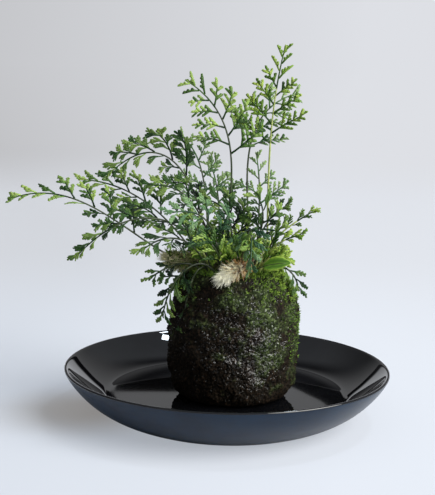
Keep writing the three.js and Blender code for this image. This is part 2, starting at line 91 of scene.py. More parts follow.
camera = bpy.data.objects.new("camera", bpy.data.cameras.new("camera"))
bpy.context.scene.collection.objects.link(camera)
camera.data.lens = LENS
camera.data.clip_start = 0.05
camera.data.clip_end = 60
look = (-backwards).to_track_quat("-Z", "Y").to_matrix()
turn = (look @ Matrix.Rotation(CAMERA_LEAN, 3, "Z")).to_4x4()
camera.matrix_world = Matrix.Translation(target + backwards * CAMERA_DISTANCE * MM) @ turn
bpy.context.scene.camera = camera
print("camera at, mm:", [round(v / MM) for v in camera.location])

# %% [markdown]
# ## Helpers for materials
# A material is a tree of nodes. Small helpers keep the trees short enough to read: one adds a
# node and sets its values, and the others stand for nodes that come up again and again, such as
# a noise, a ramp of colours or a soft step. Every pattern reads Object coordinates, which are
# metres here, so a scale of 1000 repeats each millimetre.

# %% Node helpers
def feed(tree, value, socket):
    """Links another node's output to a socket, or sets the socket to a plain value."""
    if isinstance(value, bpy.types.NodeSocket):
        tree.links.new(value, socket)
    else:
        socket.default_value = value


def add_node(tree, kind, inputs=None, **settings):
    node = tree.nodes.new(kind)
    for name, value in settings.items():
        setattr(node, name, value)
    for name, value in (inputs or {}).items():
        feed(tree, value, node.inputs[name])
    return node


def new_material(name, **values):
    material = bpy.data.materials.new(name)
    material.use_nodes = True
    shader = material.node_tree.nodes["Principled BSDF"]
    for socket, value in values.items():
        shader.inputs[socket.replace("_", " ")].default_value = value
    return material, material.node_tree, shader


def object_place(tree):
    return add_node(tree, "ShaderNodeTexCoord").outputs["Object"]


def attribute(tree, name):
    return add_node(tree, "ShaderNodeAttribute", attribute_name=name).outputs["Fac"]


def noise_of(tree, scale, detail=3.0):
    inputs = {"Vector": object_place(tree), "Scale": scale, "Detail": detail, "Roughness": 0.6}
    return add_node(tree, "ShaderNodeTexNoise", inputs).outputs["Fac"]


def maths(tree, operation, first, second, clamp=False):
    node = add_node(tree, "ShaderNodeMath", {0: first, 1: second}, operation=operation,
                    use_clamp=clamp)
    return node.outputs[0]


def around_zero(tree, value, size):
    """A value from 0 to 1, moved to lie round 0 and made smaller."""
    return maths(tree, "MULTIPLY", maths(tree, "SUBTRACT", value, 0.5), size)


def vector_maths(tree, operation, inputs, output="Value"):
    node = add_node(tree, "ShaderNodeVectorMath", dict(enumerate(inputs)), operation=operation)
    return node.outputs[output]


def part_of(tree, vector, axis):
    return add_node(tree, "ShaderNodeSeparateXYZ", {"Vector": vector}).outputs[axis]


def step_of(tree, value, low, high, kind="SMOOTHSTEP"):
    """0 where the value is below low and 1 where it is above high, changing softly between."""
    inputs = {"Value": value, "From Min": low, "From Max": high}
    node = add_node(tree, "ShaderNodeMapRange", inputs, interpolation_type=kind)
    return node.outputs["Result"]


def mix(tree, factor, first, second):
    """A colour between two. Each is a plain colour or another node's output."""
    node = add_node(tree, "ShaderNodeMix", data_type="RGBA")
    feed(tree, factor, node.inputs[0])
    for colour, socket in ((first, node.inputs[6]), (second, node.inputs[7])):
        feed(tree, (*colour, 1) if isinstance(colour, tuple) else colour, socket)
    return node.outputs[2]


def ramp(tree, factor, stops):
    node = add_node(tree, "ShaderNodeValToRGB", {"Fac": factor})
    band = node.color_ramp
    while len(band.elements) < len(stops):
        band.elements.new(0.5)
    for element, (position, colour) in zip(band.elements, stops):
        element.position = position
        element.color = (*colour, 1)
    return node.outputs["Color"]


def paint(tree, shader, factor, stops):
    """Colours a material by a ramp."""
    tree.links.new(ramp(tree, factor, stops), shader.inputs["Base Color"])


def bump(tree, shader, height, strength, distance):
    node = add_node(tree, "ShaderNodeBump", {"Height": height, "Strength": strength,
                                             "Distance": distance})
    tree.links.new(node.outputs["Normal"], shader.inputs["Normal"])


# %% [markdown]
# ## The table
# The dish stands on a pale table whose far edge is lost in the light. So the floor is a plain
# disc, a hair below the foot. Further out it isn't lit by the lamps but glows in the colour of
# the background, which leaves no line where they meet. Near the dish the camera sees it half lit
# and half glowing, because the white room round the real one throws light into its shadow. That
# glow is dimmer on the shady left, and dimmest in the one spot where the shadow is deepest.

# %% Table
FLOOR_RADIUS = 20
BELOW_FOOT = 0.0002
TABLE_COLOUR = (0.65, 0.68, 0.735)


def to_object(name, bm):
    """Puts a bmesh into the scene as an object of its own."""
    mesh = bpy.data.meshes.new(name)
    bm.to_mesh(mesh)
    bm.free()
    made = bpy.data.objects.new(name, mesh)
    bpy.context.scene.collection.objects.link(made)
    return made


bm = bmesh.new()
bmesh.ops.create_circle(bm, cap_ends=True, segments=64, radius=FLOOR_RADIUS)
floor = to_object("floor", bm)
floor.location.z = -BELOW_FOOT
table, tree, shader = new_material("table", Base_Color=(*TABLE_COLOUR, 1), Roughness=0.75)
floor.data.materials.append(table)
floor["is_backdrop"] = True
print("floor, m across:", 2 * FLOOR_RADIUS)

# %% Glow of the table
SHADY_SIDE = (0.53, 0.535, 0.555)
SUNNY_SIDE = (0.73, 0.745, 0.785)
NEAR_SHADY = (0.62, 0.67, 0.75)
NEAR_SUNNY = (0.83, 0.88, 0.96)
DEEP_SHADOW = (-0.08, 0, 0)
SHADOW_GLOW = (0.46, 0.44, 0.42)
ROOM_LOW = (0.10, 0.103, 0.11)
SOFTENED = 0.5


def background(tree, way):
    """The colour of the background in a direction: darker to the left of the photograph."""
    return mix(tree, step_of(tree, part_of(tree, way, "X"), -0.25, 0.12, "LINEAR"), SHADY_SIDE,
               SUNNY_SIDE)


place = object_place(tree)
away = vector_maths(tree, "LENGTH", [place])
way = vector_maths(tree, "NORMALIZE", [place], "Vector")
seen = add_node(tree, "ShaderNodeLightPath").outputs["Is Camera Ray"]
to_the_sun = step_of(tree, part_of(tree, place, "X"), -0.16, 0.08, "LINEAR")
near_glow = mix(tree, to_the_sun, NEAR_SHADY, NEAR_SUNNY)
out_of_shadow = step_of(tree, vector_maths(tree, "DISTANCE", [place, DEEP_SHADOW]), 0.01, 0.07)
near_glow = mix(tree, out_of_shadow, SHADOW_GLOW, near_glow)
pale = mix(tree, step_of(tree, away, 0.15, 0.7), near_glow, background(tree, way))
glow = add_node(tree, "ShaderNodeEmission", {"Color": mix(tree, seen, ROOM_LOW, pale)})
glow_share = maths(tree, "MAXIMUM", step_of(tree, away, 0.25, 2.2),
                   maths(tree, "MULTIPLY", seen, SOFTENED))
blend = add_node(tree, "ShaderNodeMixShader", {"Fac": glow_share})
tree.links.new(shader.outputs["BSDF"], blend.inputs[1])
tree.links.new(glow.outputs["Emission"], blend.inputs[2])
tree.links.new(blend.outputs["Shader"], tree.nodes["Material Output"].inputs["Surface"])
print("nodes in the table's material:", len(tree.nodes))

# %% [markdown]
# ### The room
# The sky that the camera sees is plain. What lights the plant, and what the glaze mirrors, is a
# simple room, because a black gloss shows little else than what stands round it. The room is dark
# low down and paler above. Behind the plant it has a pale wall. Before that stands a dark
# cupboard, on a bright strip of low wall, and high up is a dark shelf. The cupboard's top edge is
# level on the left and rises on the right, as the line mirrored in the dish's floor does.

# %% Room
LIGHTER_WAY = (0.25, -0.35, 0.9)
SHELF_WAY = (0, 0.72, 0.69)
WALL_WAY = (0.1, 0.955, 0.28)
ROOM_STOPS = [(0, ROOM_LOW), (0.12, (0.14, 0.145, 0.155)), (0.4, (0.32, 0.335, 0.36)),
              (0.75, (0.35, 0.37, 0.4))]
HIGH_SHELF = (0.06, 0.06, 0.065)
WALL_BEHIND = (0.33, 0.335, 0.345)
LOW_WALL = (0.78, 0.8, 0.84)
CUPBOARD = (0.004, 0.004, 0.004)
LEFT_TOP = 0.2792
RIGHT_TOP = 0.2455
RIGHT_RISE = 0.42
RISE_ENDS = 0.12

world = bpy.context.scene.world or bpy.data.worlds.new("sky")
bpy.context.scene.world = world
world.use_nodes = True
tree = world.node_tree
sky = tree.nodes["Background"]
sky.inputs["Strength"].default_value = 1.0
seen = add_node(tree, "ShaderNodeLightPath").outputs["Is Camera Ray"]
way = add_node(tree, "ShaderNodeTexCoord").outputs["Generated"]
across, height = part_of(tree, way, "X"), part_of(tree, way, "Z")
rising = maths(tree, "MULTIPLY", maths(tree, "MINIMUM", across, RISE_ENDS), RIGHT_RISE)
right_top = maths(tree, "ADD", rising, RIGHT_TOP)
left_top = maths(tree, "MULTIPLY", maths(tree, "LESS_THAN", across, 0), LEFT_TOP)
above_cupboard = maths(tree, "GREATER_THAN", height, maths(tree, "MAXIMUM", left_top, right_top))
cupboard = mix(tree, step_of(tree, height, 0.2, 0.24), LOW_WALL, CUPBOARD)
wall = mix(tree, above_cupboard, cupboard, WALL_BEHIND)
room = ramp(tree, vector_maths(tree, "DOT_PRODUCT", [way, LIGHTER_WAY]), ROOM_STOPS)
for middle, low, high, colour in ((SHELF_WAY, 0.86, 0.96, HIGH_SHELF), (WALL_WAY, 0.78, 0.97, wall)):
    near = step_of(tree, vector_maths(tree, "DOT_PRODUCT", [way, middle]), low, high)
    room = mix(tree, near, room, colour)
tree.links.new(mix(tree, seen, room, background(tree, way)), sky.inputs["Color"])
print("nodes in the sky:", len(tree.nodes))

# %% [markdown]
# ### Lamps
# A sun lamp with a wide angle, from the right and a little in front, stands for the daylight. It
# gives soft light evenly over the whole floor. A small area lamp high on the right makes the
# white spot that the dish mirrors, and glints in what is wet.

# %% Lamps
BALL_MIDDLE = ORIGIN + Vector((3.6, -5, 56)) * MM


def add_lamp(name, kind, at, energy, colour, **values):
    """A lamp that shines on the middle of the ball."""
    lamp = bpy.data.objects.new(name, bpy.data.lights.new(name, kind))
    bpy.context.scene.collection.objects.link(lamp)
    lamp.location = at
    lamp.rotation_euler = (BALL_MIDDLE - Vector(at)).to_track_quat("-Z", "Y").to_euler()
    lamp.data.energy = energy
    lamp.data.color = colour
    for key, value in values.items():
        setattr(lamp.data, key, value)
    print(f"{name}: {energy} at {at}")


add_lamp("daylight", "SUN", at=(1.3, -0.7, 1.0), energy=5.0, colour=(1, 0.985, 0.96),
         angle=math.radians(50))
add_lamp("window", "AREA", at=(0.63, 0.14, 1.52), energy=3.5, colour=(0.8, 0.9, 1),
         shape="RECTANGLE", size=0.13, size_y=0.15)
bpy.context.scene.view_settings.view_transform = "Standard"

# %% [markdown]
# ## Helpers for pieces
# A piece is finished when its mesh is in place, its faces are smooth, it has its material, it
# rides on the body root, and the solids that it stands for are hidden. Its faces already point outwards.

# %% Finishing a piece
def finish_piece(name, bm, materials, replaced):
    piece = to_object(name, bm)
    for material in materials:
        piece.data.materials.append(material)
    piece.data.shade_smooth()
    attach(piece, "root")
    if replaced:
        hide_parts(*replaced)
    triangles = sum(len(face.vertices) - 2 for face in piece.data.polygons)
    print(f"{name}: {triangles} triangles")


def join_to(bm, part):
    """Adds a part to bm. It was made on its own, and is freed."""
    mesh = bpy.data.meshes.new("part")
    part.to_mesh(mesh)
    part.free()
    bm.from_mesh(mesh)
    bpy.data.meshes.remove(mesh)


def in_place(points):
    """Millimetres in the drawing to metres in the frame."""
    return [ORIGIN + Vector(point) * MM for point in points]


# %% [markdown]
# ## The dish
# A potter's dish is turned, so its wall is one profile spun about the middle. The profile starts
# under the foot, goes out round the rim and comes back over the floor. Two points close together
# keep an edge crisp when Subdivision Surface rounds the rest. Inside, the glaze is almost black
# and mirrors the room. Below the rim, where the wall turns down, it is satin, and a slate blue is
# painted into its colour there as the reflection of the pale bluish table.

# %% Dish
DISH_PROFILE = [
    (0, 9.2), (30, 9.2), (56.5, 9.2), (58.7, 8.6), (60.2, 0.9), (61.2, 0), (65.8, 0), (67.2, 0.7),
    (77, 4.3), (88, 11), (96.5, 19), (102, 26), (104.6, 30.6), (105, 31.6), (104.3, 32.5),
    (103, 32.3), (101.9, 31.2), (98, 27.4), (90, 20.8), (83, 16.6), (78.6, 14.9), (75.5, 14.7),
    (50, 14.7), (0, 14.7),
]
TURNED_DOWN = -0.05


def turned(profile, steps, centre=(0, 0)):
    """A closed body: the profile of (radius, height) in millimetres, spun about a centre."""
    bm = bmesh.new()
    points = in_place([(centre[0] + radius, centre[1], height) for radius, height in profile])
    chain = [bm.verts.new(point) for point in points]
    for start, end in zip(chain, chain[1:]):
        bm.edges.new((start, end))
    middle = in_place([(*centre, 0)])[0]
    bmesh.ops.spin(bm, geom=bm.verts[:] + bm.edges[:], cent=middle, axis=(0, 0, 1), dvec=(0, 0, 0),
                   angle=math.tau, steps=steps, use_merge=True)
    bmesh.ops.remove_doubles(bm, verts=bm.verts, dist=1e-6)
    bmesh.ops.dissolve_degenerate(bm, edges=bm.edges, dist=1e-7)
    bmesh.ops.recalc_face_normals(bm, faces=bm.faces)
    return bm


def smoothed(bm, levels):
    """The same body with Subdivision Surface applied."""
    cage = to_object("cage", bm)
    cage.modifiers.new("round", "SUBSURF").levels = levels
    rounded = cage.evaluated_get(bpy.context.evaluated_depsgraph_get()).to_mesh()
    bm = bmesh.new()
    bm.from_mesh(rounded)
    mesh = cage.data
    bpy.data.objects.remove(cage)
    bpy.data.meshes.remove(mesh)
    return bm


def glaze_material(name, dark, light, **values):
    material, tree, shader = new_material(name, Coat_Roughness=0.03, **values)
    paint(tree, shader, noise_of(tree, 55, detail=5), [(0.3, dark), (0.75, light)])
    bump(tree, shader, noise_of(tree, 40, detail=0), 0.02, 0.0004)
    return material


GLAZES = [
    glaze_material("black_glaze", (0.0015, 0.0016, 0.002), (0.005, 0.0055, 0.007), Roughness=0.02,
                   IOR=1.44, Coat_Weight=0.3),
    # A satin finish, with a slate blue painted in as the reflection of the pale bluish table.
    glaze_material("satin_glaze_painted_blue", (0.0005, 0.008, 0.022), (0.002, 0.016, 0.039), Roughness=0.28,
                   IOR=1.38),
]
dish = smoothed(turned(DISH_PROFILE, 64), 2)
dish.normal_update()
# Faces that turn down get the satin glaze, whose blue is a painted reflection.
for face in dish.faces:
    face.material_index = 1 if face.normal.z < TURNED_DOWN else 0
finish_piece("dish_turned", dish, GLAZES, ["dish"])

# %% [markdown]
# ## The ball
# The ball is turned as well, from a profile so fine and in so many steps that its cells are about
# half a millimetre. Cutting a coarser ball finer would be quicker, but the operator for that
# numbers the new vertices differently each time, and the chances drawn for them below would
# then fall elsewhere in each run.

# %% Ball, turned
BALL_CENTRE = (3.6, -5)
BALL_BOTTOM = 15
BALL_RADIUS = 41.3
MOSS_TOP = 96
SOIL_TOP = 95.5
OPENING_RADIUS = 27
SPUN_STEPS = 432
CELL = 0.6
OUTER_SHARE = [
    (0.702, 0), (0.85, 0.04), (0.94, 0.12), (0.985, 0.25), (1, 0.42), (0.995, 0.58), (0.965, 0.73),
    (0.905, 0.85), (0.83, 0.93), (0.74, 0.98),
]
INNER_SHARE = [
    (0.6, 0.055), (0.78, 0.1), (0.86, 0.18), (0.895, 0.3), (0.905, 0.45), (0.9, 0.6), (0.87, 0.73),
    (0.81, 0.85), (0.73, 0.94),
]


def ball_profile(shares):
    height = MOSS_TOP - BALL_BOTTOM
    return [(radius * BALL_RADIUS, BALL_BOTTOM + rise * height) for radius, rise in shares]


def smooth_profile(profile, spacing):
    """A smooth curve through the points of a profile, in steps of about the spacing."""
    points = [Vector((*point, 0)) for point in profile]
    curve = []
    for i in range(len(points) - 1):
        start, end = points[i], points[i + 1]
        before, after = points[max(i - 1, 0)], points[min(i + 2, len(points) - 1)]
        steps = max(1, round((end - start).length / spacing))
        curve += geometry.interpolate_bezier(start, start + (end - before) / 6,
                                             end - (after - start) / 6, end, steps + 1)[:-1]
    return [(point.x, point.y) for point in curve + points[-1:]]


lining = [(OPENING_RADIUS, SOIL_TOP - 1.2), *reversed(ball_profile(INNER_SHARE))]
outside = [(15, BALL_BOTTOM), *ball_profile(OUTER_SHARE), (OPENING_RADIUS + 1.6, MOSS_TOP)]
wrap_profile = [(0, BALL_BOTTOM), *smooth_profile(outside, CELL), (OPENING_RADIUS, MOSS_TOP - 1),
                *lining, (0, lining[-1][1])]
ball = turned(wrap_profile, SPUN_STEPS, BALL_CENTRE)
ball_axis = in_place([(*BALL_CENTRE, 0)])[0]
ball.normal_update()
print("vertices of the ball:", len(ball.verts))

# %% [markdown]
# ### Its skin
# Then each vertex of the outside moves: first by the slow waves of the solid's own relief, and
# then along its normal. A Voronoi pattern in space cuts the skin into granules, each with a face
# of its own tilt, with clefts between them. Wet granules shine, most of them low on the right of
# the front, and a slow noise breaks their shine up. Live green is left where the light comes
# from, high and to the right. All this is noted on the vertices for the materials.

# %% Relief, granules, green and wet
RELIEF = 0.9
WAVES = [(1, 5, 0.11), (0.8, 9, -0.23), (0.7, 3, 0.31), (0.5, 14, 0.4)]
FADE_OVER = 8
FINENESS = 0.85
FACET_TILT = 1.7
CLEFT_WIDTH = 0.3
CLEFT_DEPTH = 0.5
LARGE_STANDS_OUT = 0.5
SKIN_LUMPS = [(0.11, 1.2), (0.3, 0.8)]
NEAR_RADIUS = 0.041
LIGHT_WAY = Vector((0.55, -0.1, 0.66))
GREEN_PATCHES = [(0.09, 1.1), (0.3, 0.7)]
WET_SPOTS = [((0.32, -0.88, -0.2), 6, 0.85), ((0.05, -0.95, 0.15), 3, 0.4),
             ((0.34, -0.9, -0.52), 40, 1)]
WET_ANYWHERE = 0.1
SHINE_BREAKS = 1.7


def layered_noise(place, layers):
    """Noise at a place in millimetres, in layers of (scale, size) that add up."""
    return sum(size * noise.noise(place * scale) for scale, size in layers)


def moss_relief(offset, height):
    """How much the ball grows sideways there. Waves are (size, turns round, rise of the phase)."""
    angle = math.atan2(offset.y, offset.x)
    waves = sum(size * math.sin(turns * angle + rise * height) for size, turns, rise in WAVES)
    fade = min(1, (height - BALL_BOTTOM) / FADE_OVER, max(0, MOSS_TOP - height) / FADE_OVER)
    return RELIEF * fade * waves / 2


def granules(place):
    """How far a point stands out, in millimetres, its cleft, and its granule's size and gloss.

    A granule's own numbers are read from cells far apart in space, so they don't go together.
    """
    near, cores = noise.voronoi(place * FINENESS)
    core = cores[0]
    tilt = noise.cell_vector(core * 97) - Vector((0.5, 0.5, 0.5))
    facet = tilt.dot(place * FINENESS - core) * FACET_TILT
    size = 0.5 + 0.5 * noise.cell(core * 61)
    gloss = 0.5 + 0.5 * noise.cell(core * 37)
    cleft = max(0, 1 - (near[1] - near[0]) / CLEFT_WIDTH)
    rise = layered_noise(place, SKIN_LUMPS) + facet + (size - 0.5) * LARGE_STANDS_OUT
    return rise - CLEFT_DEPTH * cleft * cleft, cleft, size, gloss


def greenness(place):
    """Where live moss is left: towards the light, and in patches."""
    towards_light = ((place - BALL_MIDDLE) / NEAR_RADIUS).dot(LIGHT_WAY) - 0.1
    return towards_light + layered_noise(place / MM, GREEN_PATCHES)


def wet_chance(place):
    """The share of granules that shine. Spots are (middle, narrowness, share)."""
    offset = (place - BALL_MIDDLE) / NEAR_RADIUS
    chance = WET_ANYWHERE
    for middle, narrowness, share in WET_SPOTS:
        away = (offset - Vector(middle)).length
        chance += share * math.exp(-narrowness * away * away)
    return chance


def shines(place, gloss):
    chance = wet_chance(place)
    return gloss < chance and noise.noise(place / MM * SHINE_BREAKS) > 0.25 - 0.2 * chance


# %% Ball's skin
clefts = ball.verts.layers.float.new("cleft")
greens = ball.verts.layers.float.new("green")
tones = ball.verts.layers.float.new("tone")
skin = []
wet = set()
for vertex in ball.verts:
    offset = vertex.co - ball_axis
    height = vertex.co.z / MM
    facing_out = vertex.normal.xy.dot(offset.xy) > 0 or vertex.normal.z > 0.5
    if facing_out and height > BALL_BOTTOM + 0.3:
        sideways = offset.xy.normalized() * moss_relief(offset, height)
        fade = min(1, (height - BALL_BOTTOM) / 3)
        rise, vertex[clefts], vertex[tones], gloss = granules(vertex.co / MM)
        if shines(vertex.co, gloss):
            wet.add(vertex)
        vertex[greens] = greenness(vertex.co)
        push = vertex.normal * rise * fade
        vertex.co += Vector((sideways.x + push.x, sideways.y + push.y, push.z)) * MM
        skin.append((vertex.co.copy(), vertex.normal.copy(), vertex[greens]))
skin.sort(key=lambda spot: tuple(spot[0]))
print("vertices of the skin:", len(skin), "wet:", len(wet))

# %% Ball's materials
# The colour of the painted shade deep in the clefts.
PAINTED_CLEFT_SHADE = (0.001, 0.001, 0.0006)
PEAT_STOPS = [(0.4, (0.0035, 0.0026, 0.0018)), (0.75, (0.014, 0.01, 0.006)), (1, (0.03, 0.018, 0.01))]
GREEN_STOPS = [(0.4, (0.006, 0.009, 0.003)), (0.75, (0.034, 0.050, 0.016)), (1, (0.10, 0.14, 0.045))]


def skin_material(name, **values):
    """Peat and moss, with painted shade in the clefts, and with the finish that the values give."""
    material, tree, shader = new_material(name, **values)
    own = maths(tree, "MULTIPLY", attribute(tree, "tone"), 0.5)
    grain = maths(tree, "ADD", own, noise_of(tree, 900, detail=4))
    green_share = step_of(tree, attribute(tree, "green"), 0.0, 0.9, "LINEAR")
    colour = mix(tree, green_share, ramp(tree, grain, PEAT_STOPS), ramp(tree, grain, GREEN_STOPS))
    # Painted shade: the deeper the cleft, the nearer the colour comes to the shade colour.
    shade = maths(tree, "MULTIPLY", attribute(tree, "cleft"), 0.85)
    tree.links.new(mix(tree, shade, colour, PAINTED_CLEFT_SHADE), shader.inputs["Base Color"])
    bump(tree, shader, noise_of(tree, 1700, detail=4), 0.8, 0.0005)
    return material


SKIN = [skin_material("damp_moss", Roughness=0.75, Specular_IOR_Level=0.1),
        skin_material("wet_moss", Roughness=0.14, Specular_IOR_Level=1.0)]
for face in ball.faces:
    face.material_index = 1 if face.verts[0] in wet else 0
wet.clear()
finish_piece("moss_ball", ball, SKIN, ["moss_wrap"])

# %% [markdown]
# ## The soil
# Inside the opening the peat shows between the stems. It fills the moss like a pressed ball, and
# only its top is rough.

# %% Soil
CLEAR = 0.6
SOIL_LUMPS = [(0.4, 1), (1.1, 0.6)]
SOIL_ROUGHNESS = 0.8
SOIL_STOPS = [(0.3, (0.006, 0.004, 0.003)), (0.6, (0.035, 0.022, 0.014)), (0.85, (0.11, 0.075, 0.045))]
side = [(radius - CLEAR, height) for radius, height in ball_profile(INNER_SHARE)]
soil_profile = [(0, side[0][1] + CLEAR), (side[0][0], side[0][1] + CLEAR), *side[1:],
                (OPENING_RADIUS - CLEAR, SOIL_TOP - 1.6), (OPENING_RADIUS - CLEAR, SOIL_TOP - 0.3),
                (OPENING_RADIUS - 3, SOIL_TOP), (18, SOIL_TOP + 0.3), (9, SOIL_TOP + 0.4),
                (0, SOIL_TOP + 0.4)]
soil = smoothed(turned(soil_profile, 40, BALL_CENTRE), 2)
for vertex in soil.verts:
    if vertex.co.z > (SOIL_TOP - 1) * MM:
        vertex.co.z += layered_noise(vertex.co / MM, SOIL_LUMPS) * SOIL_ROUGHNESS * MM
peat_soil, tree, shader = new_material("peat_soil", Roughness=0.9)
paint(tree, shader, noise_of(tree, 600, detail=6), SOIL_STOPS)
bump(tree, shader, noise_of(tree, 1800), 0.8, 0.0006)
finish_piece("peat_ball", soil, [peat_soil], ["soil_core"])

# %% [markdown]
# ## A rib to lay things along
# Each frond and each creeping stem follows a smooth curve through four points. `Rib` measures
# that curve, and gives the frame at any distance along it: which way it runs, which way is
# across, and which way is up out of the upper face. The curve is one Bezier piece, with handles
# that make it pass the two inner points at a third and at two thirds of its way.

# %% Rib
class Rib:
    SAMPLES = 240

    def __init__(self, through, facing):
        start, second, third, end = in_place(through)
        out = -5 / 6 * start + 3 * second - 1.5 * third + end / 3
        back = start / 3 - 1.5 * second + 3 * third - 5 / 6 * end
        self.points = geometry.interpolate_bezier(start, out, back, end, self.SAMPLES)
        self.reached = [0.0]
        for a, b in zip(self.points, self.points[1:]):
            self.reached.append(self.reached[-1] + (b - a).length / MM)
        self.length = self.reached[-1]
        self.facing = Vector(facing).normalized()

    def frame(self, distance):
        inside = min(max(distance, 0), self.length)
        step = min(max(bisect_right(self.reached, inside) - 1, 0), self.SAMPLES - 2)
        low = max(step - 1, 0)
        high = min(step + 2, self.SAMPLES - 1)
        share = (inside - self.reached[step]) / (self.reached[step + 1] - self.reached[step])
        along = (self.points[high] - self.points[low]).normalized()
        point = self.points[step].lerp(self.points[step + 1], share)
        point = point + along * (distance - inside) * MM
        across = self.facing.cross(along).normalized()
        return point, along, across, along.cross(across)


# %% [markdown]
# ## Creeping stems and their fur
# The creeping stems look like a hare's paw: a soft rod under a coat of fine hairs. The rod is
# turned upright and then bent along its rib. Hair curves would vanish in an export, so each hair
# is a cone with three sides. Hairs grow in clumps whose tips lie close together, as wet fur does.
# They are made a few dozen at a time in a small mesh of their own, because an operator looks at
# every element of the mesh it works on, and slows down as that grows.

# %% Hairs
BATCH = 60


def any_way(draw):
    return Vector((draw.uniform(-1, 1), draw.uniform(-1, 1), draw.uniform(-1, 1)))


def within_one(value):
    return min(1, max(0, value))


def add_cones(bm, cones):
    """Cones given as (root, tip, radius, tone), joined to bm in small batches."""
    for start in range(0, len(cones), BATCH):
        batch = bmesh.new()
        tones = batch.verts.layers.float.new("tone")
        for root, tip, radius, tone in cones[start:start + BATCH]:
            lean = (tip - root).to_track_quat("Z", "Y").to_matrix().to_4x4()
            place = Matrix.Translation((root + tip) / 2) @ lean
            made = bmesh.ops.create_cone(batch, cap_ends=True, segments=3, radius1=radius,
                                         radius2=radius / 8, depth=(tip - root).length, matrix=place)
            for vertex in made["verts"]:
                vertex[tones] = tone
        join_to(bm, batch)


# %% Creeping stems
RHIZOMES = {
    "rhizome_front": {
        "through": [(7, -12, 99.0), (8, -22, 100.4), (4, -33, 100.8), (-4.5, -43, 97.6)],
        "radius": 4.5, "clumps": 380, "length": 7.5, "pale": 0.9, "slot": "cream_fur",
    },
    "rhizome_left": {
        "through": [(-3, -9, 99.4), (-14, -10, 101.0), (-27, -11.5, 102.1), (-40, -13, 103.2)],
        "radius": 5.7, "clumps": 460, "length": 7, "pale": 0.75, "slot": "brown_fur",
    },
    "rhizome_back": {
        "through": [(3, 6, 98.9), (0, 17, 100.7), (-3, 27, 99.2), (-5, 37, 91.6)],
        "radius": 4.2, "clumps": 240, "length": 4.5, "pale": 0.2, "slot": "brown_fur",
    },
    "rhizome_bud": {
        "through": [(-1.6, -18, 95.8), (-2.6, -19.4, 100.1), (-4, -20.6, 104.3), (-6, -21.4, 108)],
        "radius": 1.8, "clumps": 70, "length": 2.6, "pale": 0.5, "slot": "cream_fur",
    },
}
RHIZOME_FACING = (0.1, 0.3, 1)
ROD_RINGS = 19
FLESH = 0.62
HAIR_FOOT = 0.6
HAIRS_IN_CLUMP = 14


def rod_radius(share, radius):
    """The radius along a creeping stem: gently waved, and rounded off at both ends."""
    round_end = math.sqrt(math.sin(math.pi * (0.06 + 0.88 * share)))
    return radius * (1 + 0.08 * math.sin(share * 19)) * round_end


def along_rod(rib, share):
    """The distance along the rib, kept a little away from both ends."""
    return rib.length * (0.03 + 0.94 * share)


def bent_rod(rib, radius):
    """A turned rod, bent along the rib."""
    profile = [(0, 0)]
    for i in range(ROD_RINGS):
        share = i / (ROD_RINGS - 1)
        profile.append((rod_radius(share, radius * FLESH), along_rod(rib, share)))
    bm = turned([*profile, (0, rib.length)], 16)
    bm.verts.layers.float.new("tone")
    for vertex in bm.verts:
        local = (vertex.co - ORIGIN) / MM
        point, along, across, up = rib.frame(local.z)
        vertex.co = point + (across * local.x + up * local.y) * MM
    return bm


def on_rod(rib, share, angle, radius):
    """A place on the skin of the rod, with the ways out of it and along it."""
    point, along, across, up = rib.frame(along_rod(rib, share))
    out = across * math.cos(angle) + up * math.sin(angle)
    return point + out * rod_radius(share, radius * HAIR_FOOT) * MM, out, along


def make_rhizome(name, plan, materials):
    rib = Rib(plan["through"], RHIZOME_FACING)
    draw = random.Random(name)
    bm = bent_rod(rib, plan["radius"])
    cones = []
    for _ in range(plan["clumps"]):
        share = draw.random() ** 0.85
        angle = draw.uniform(0, math.tau)
        sweep = 0.4 + 1.7 * share + draw.uniform(-0.3, 0.3)
        wander = any_way(draw) * 0.5
        rise = draw.uniform(0.35, 1)
        tone = 0.3 + plan["pale"] * share * share + draw.uniform(-0.15, 0.25)
        heart, out, along = on_rod(rib, share, angle, plan["radius"])
        way = (out * rise + along * sweep + wander).normalized()
        for _ in range(HAIRS_IN_CLUMP):
            near = within_one(share + draw.uniform(-0.03, 0.03))
            around = angle + draw.uniform(-0.3, 0.3)
            root = on_rod(rib, near, around, plan["radius"])[0]
            jitter = any_way(draw) * 0.6
            tip = heart + (way * plan["length"] * draw.uniform(0.55, 1.15) + jitter) * MM
            cones.append((root, tip, draw.uniform(0.08, 0.14) * MM, tone + draw.uniform(-0.1, 0.1)))
    add_cones(bm, cones)
    finish_piece(f"{name}_fur", bm, materials, [name])


# %% Fur
FUR_STOPS = {
    "cream_fur": [(0, (0.06, 0.025, 0.006)), (0.35, (0.36, 0.13, 0.022)), (0.55, (0.55, 0.32, 0.1)),
                  (0.75, (0.8, 0.75, 0.5)), (1, (0.92, 0.9, 0.72))],
    "brown_fur": [(0, (0.03, 0.026, 0.007)), (0.35, (0.18, 0.165, 0.045)), (0.6, (0.42, 0.4, 0.16)),
                  (1, (0.74, 0.7, 0.42))],
}


def fur_material(name, stops):
    material, tree, shader = new_material(name, Roughness=0.7, Sheen_Weight=0.2)
    streaks = around_zero(tree, noise_of(tree, 240, detail=5), 0.5)
    paint(tree, shader, maths(tree, "ADD", attribute(tree, "tone"), streaks, clamp=True), stops)
    bump(tree, shader, noise_of(tree, 3000, detail=1), 0.3, 0.0002)
    return material


FUR = {name: fur_material(name, stops) for name, stops in FUR_STOPS.items()}
for name, plan in RHIZOMES.items():
    make_rhizome(name, plan, [FUR[plan["slot"]]])

# %% [markdown]
# ## Live moss
# Moss still grows on the side of the ball that the light reaches, and over the peat on top. Its
# tufts are sheaves of short cones. On the ball they sit on vertices of the skin: most on the
# shoulders and on the right flank, short and dull low down, longer and brighter towards the
# light. On top they stand between the stems, and some grow along the left creeping stem.

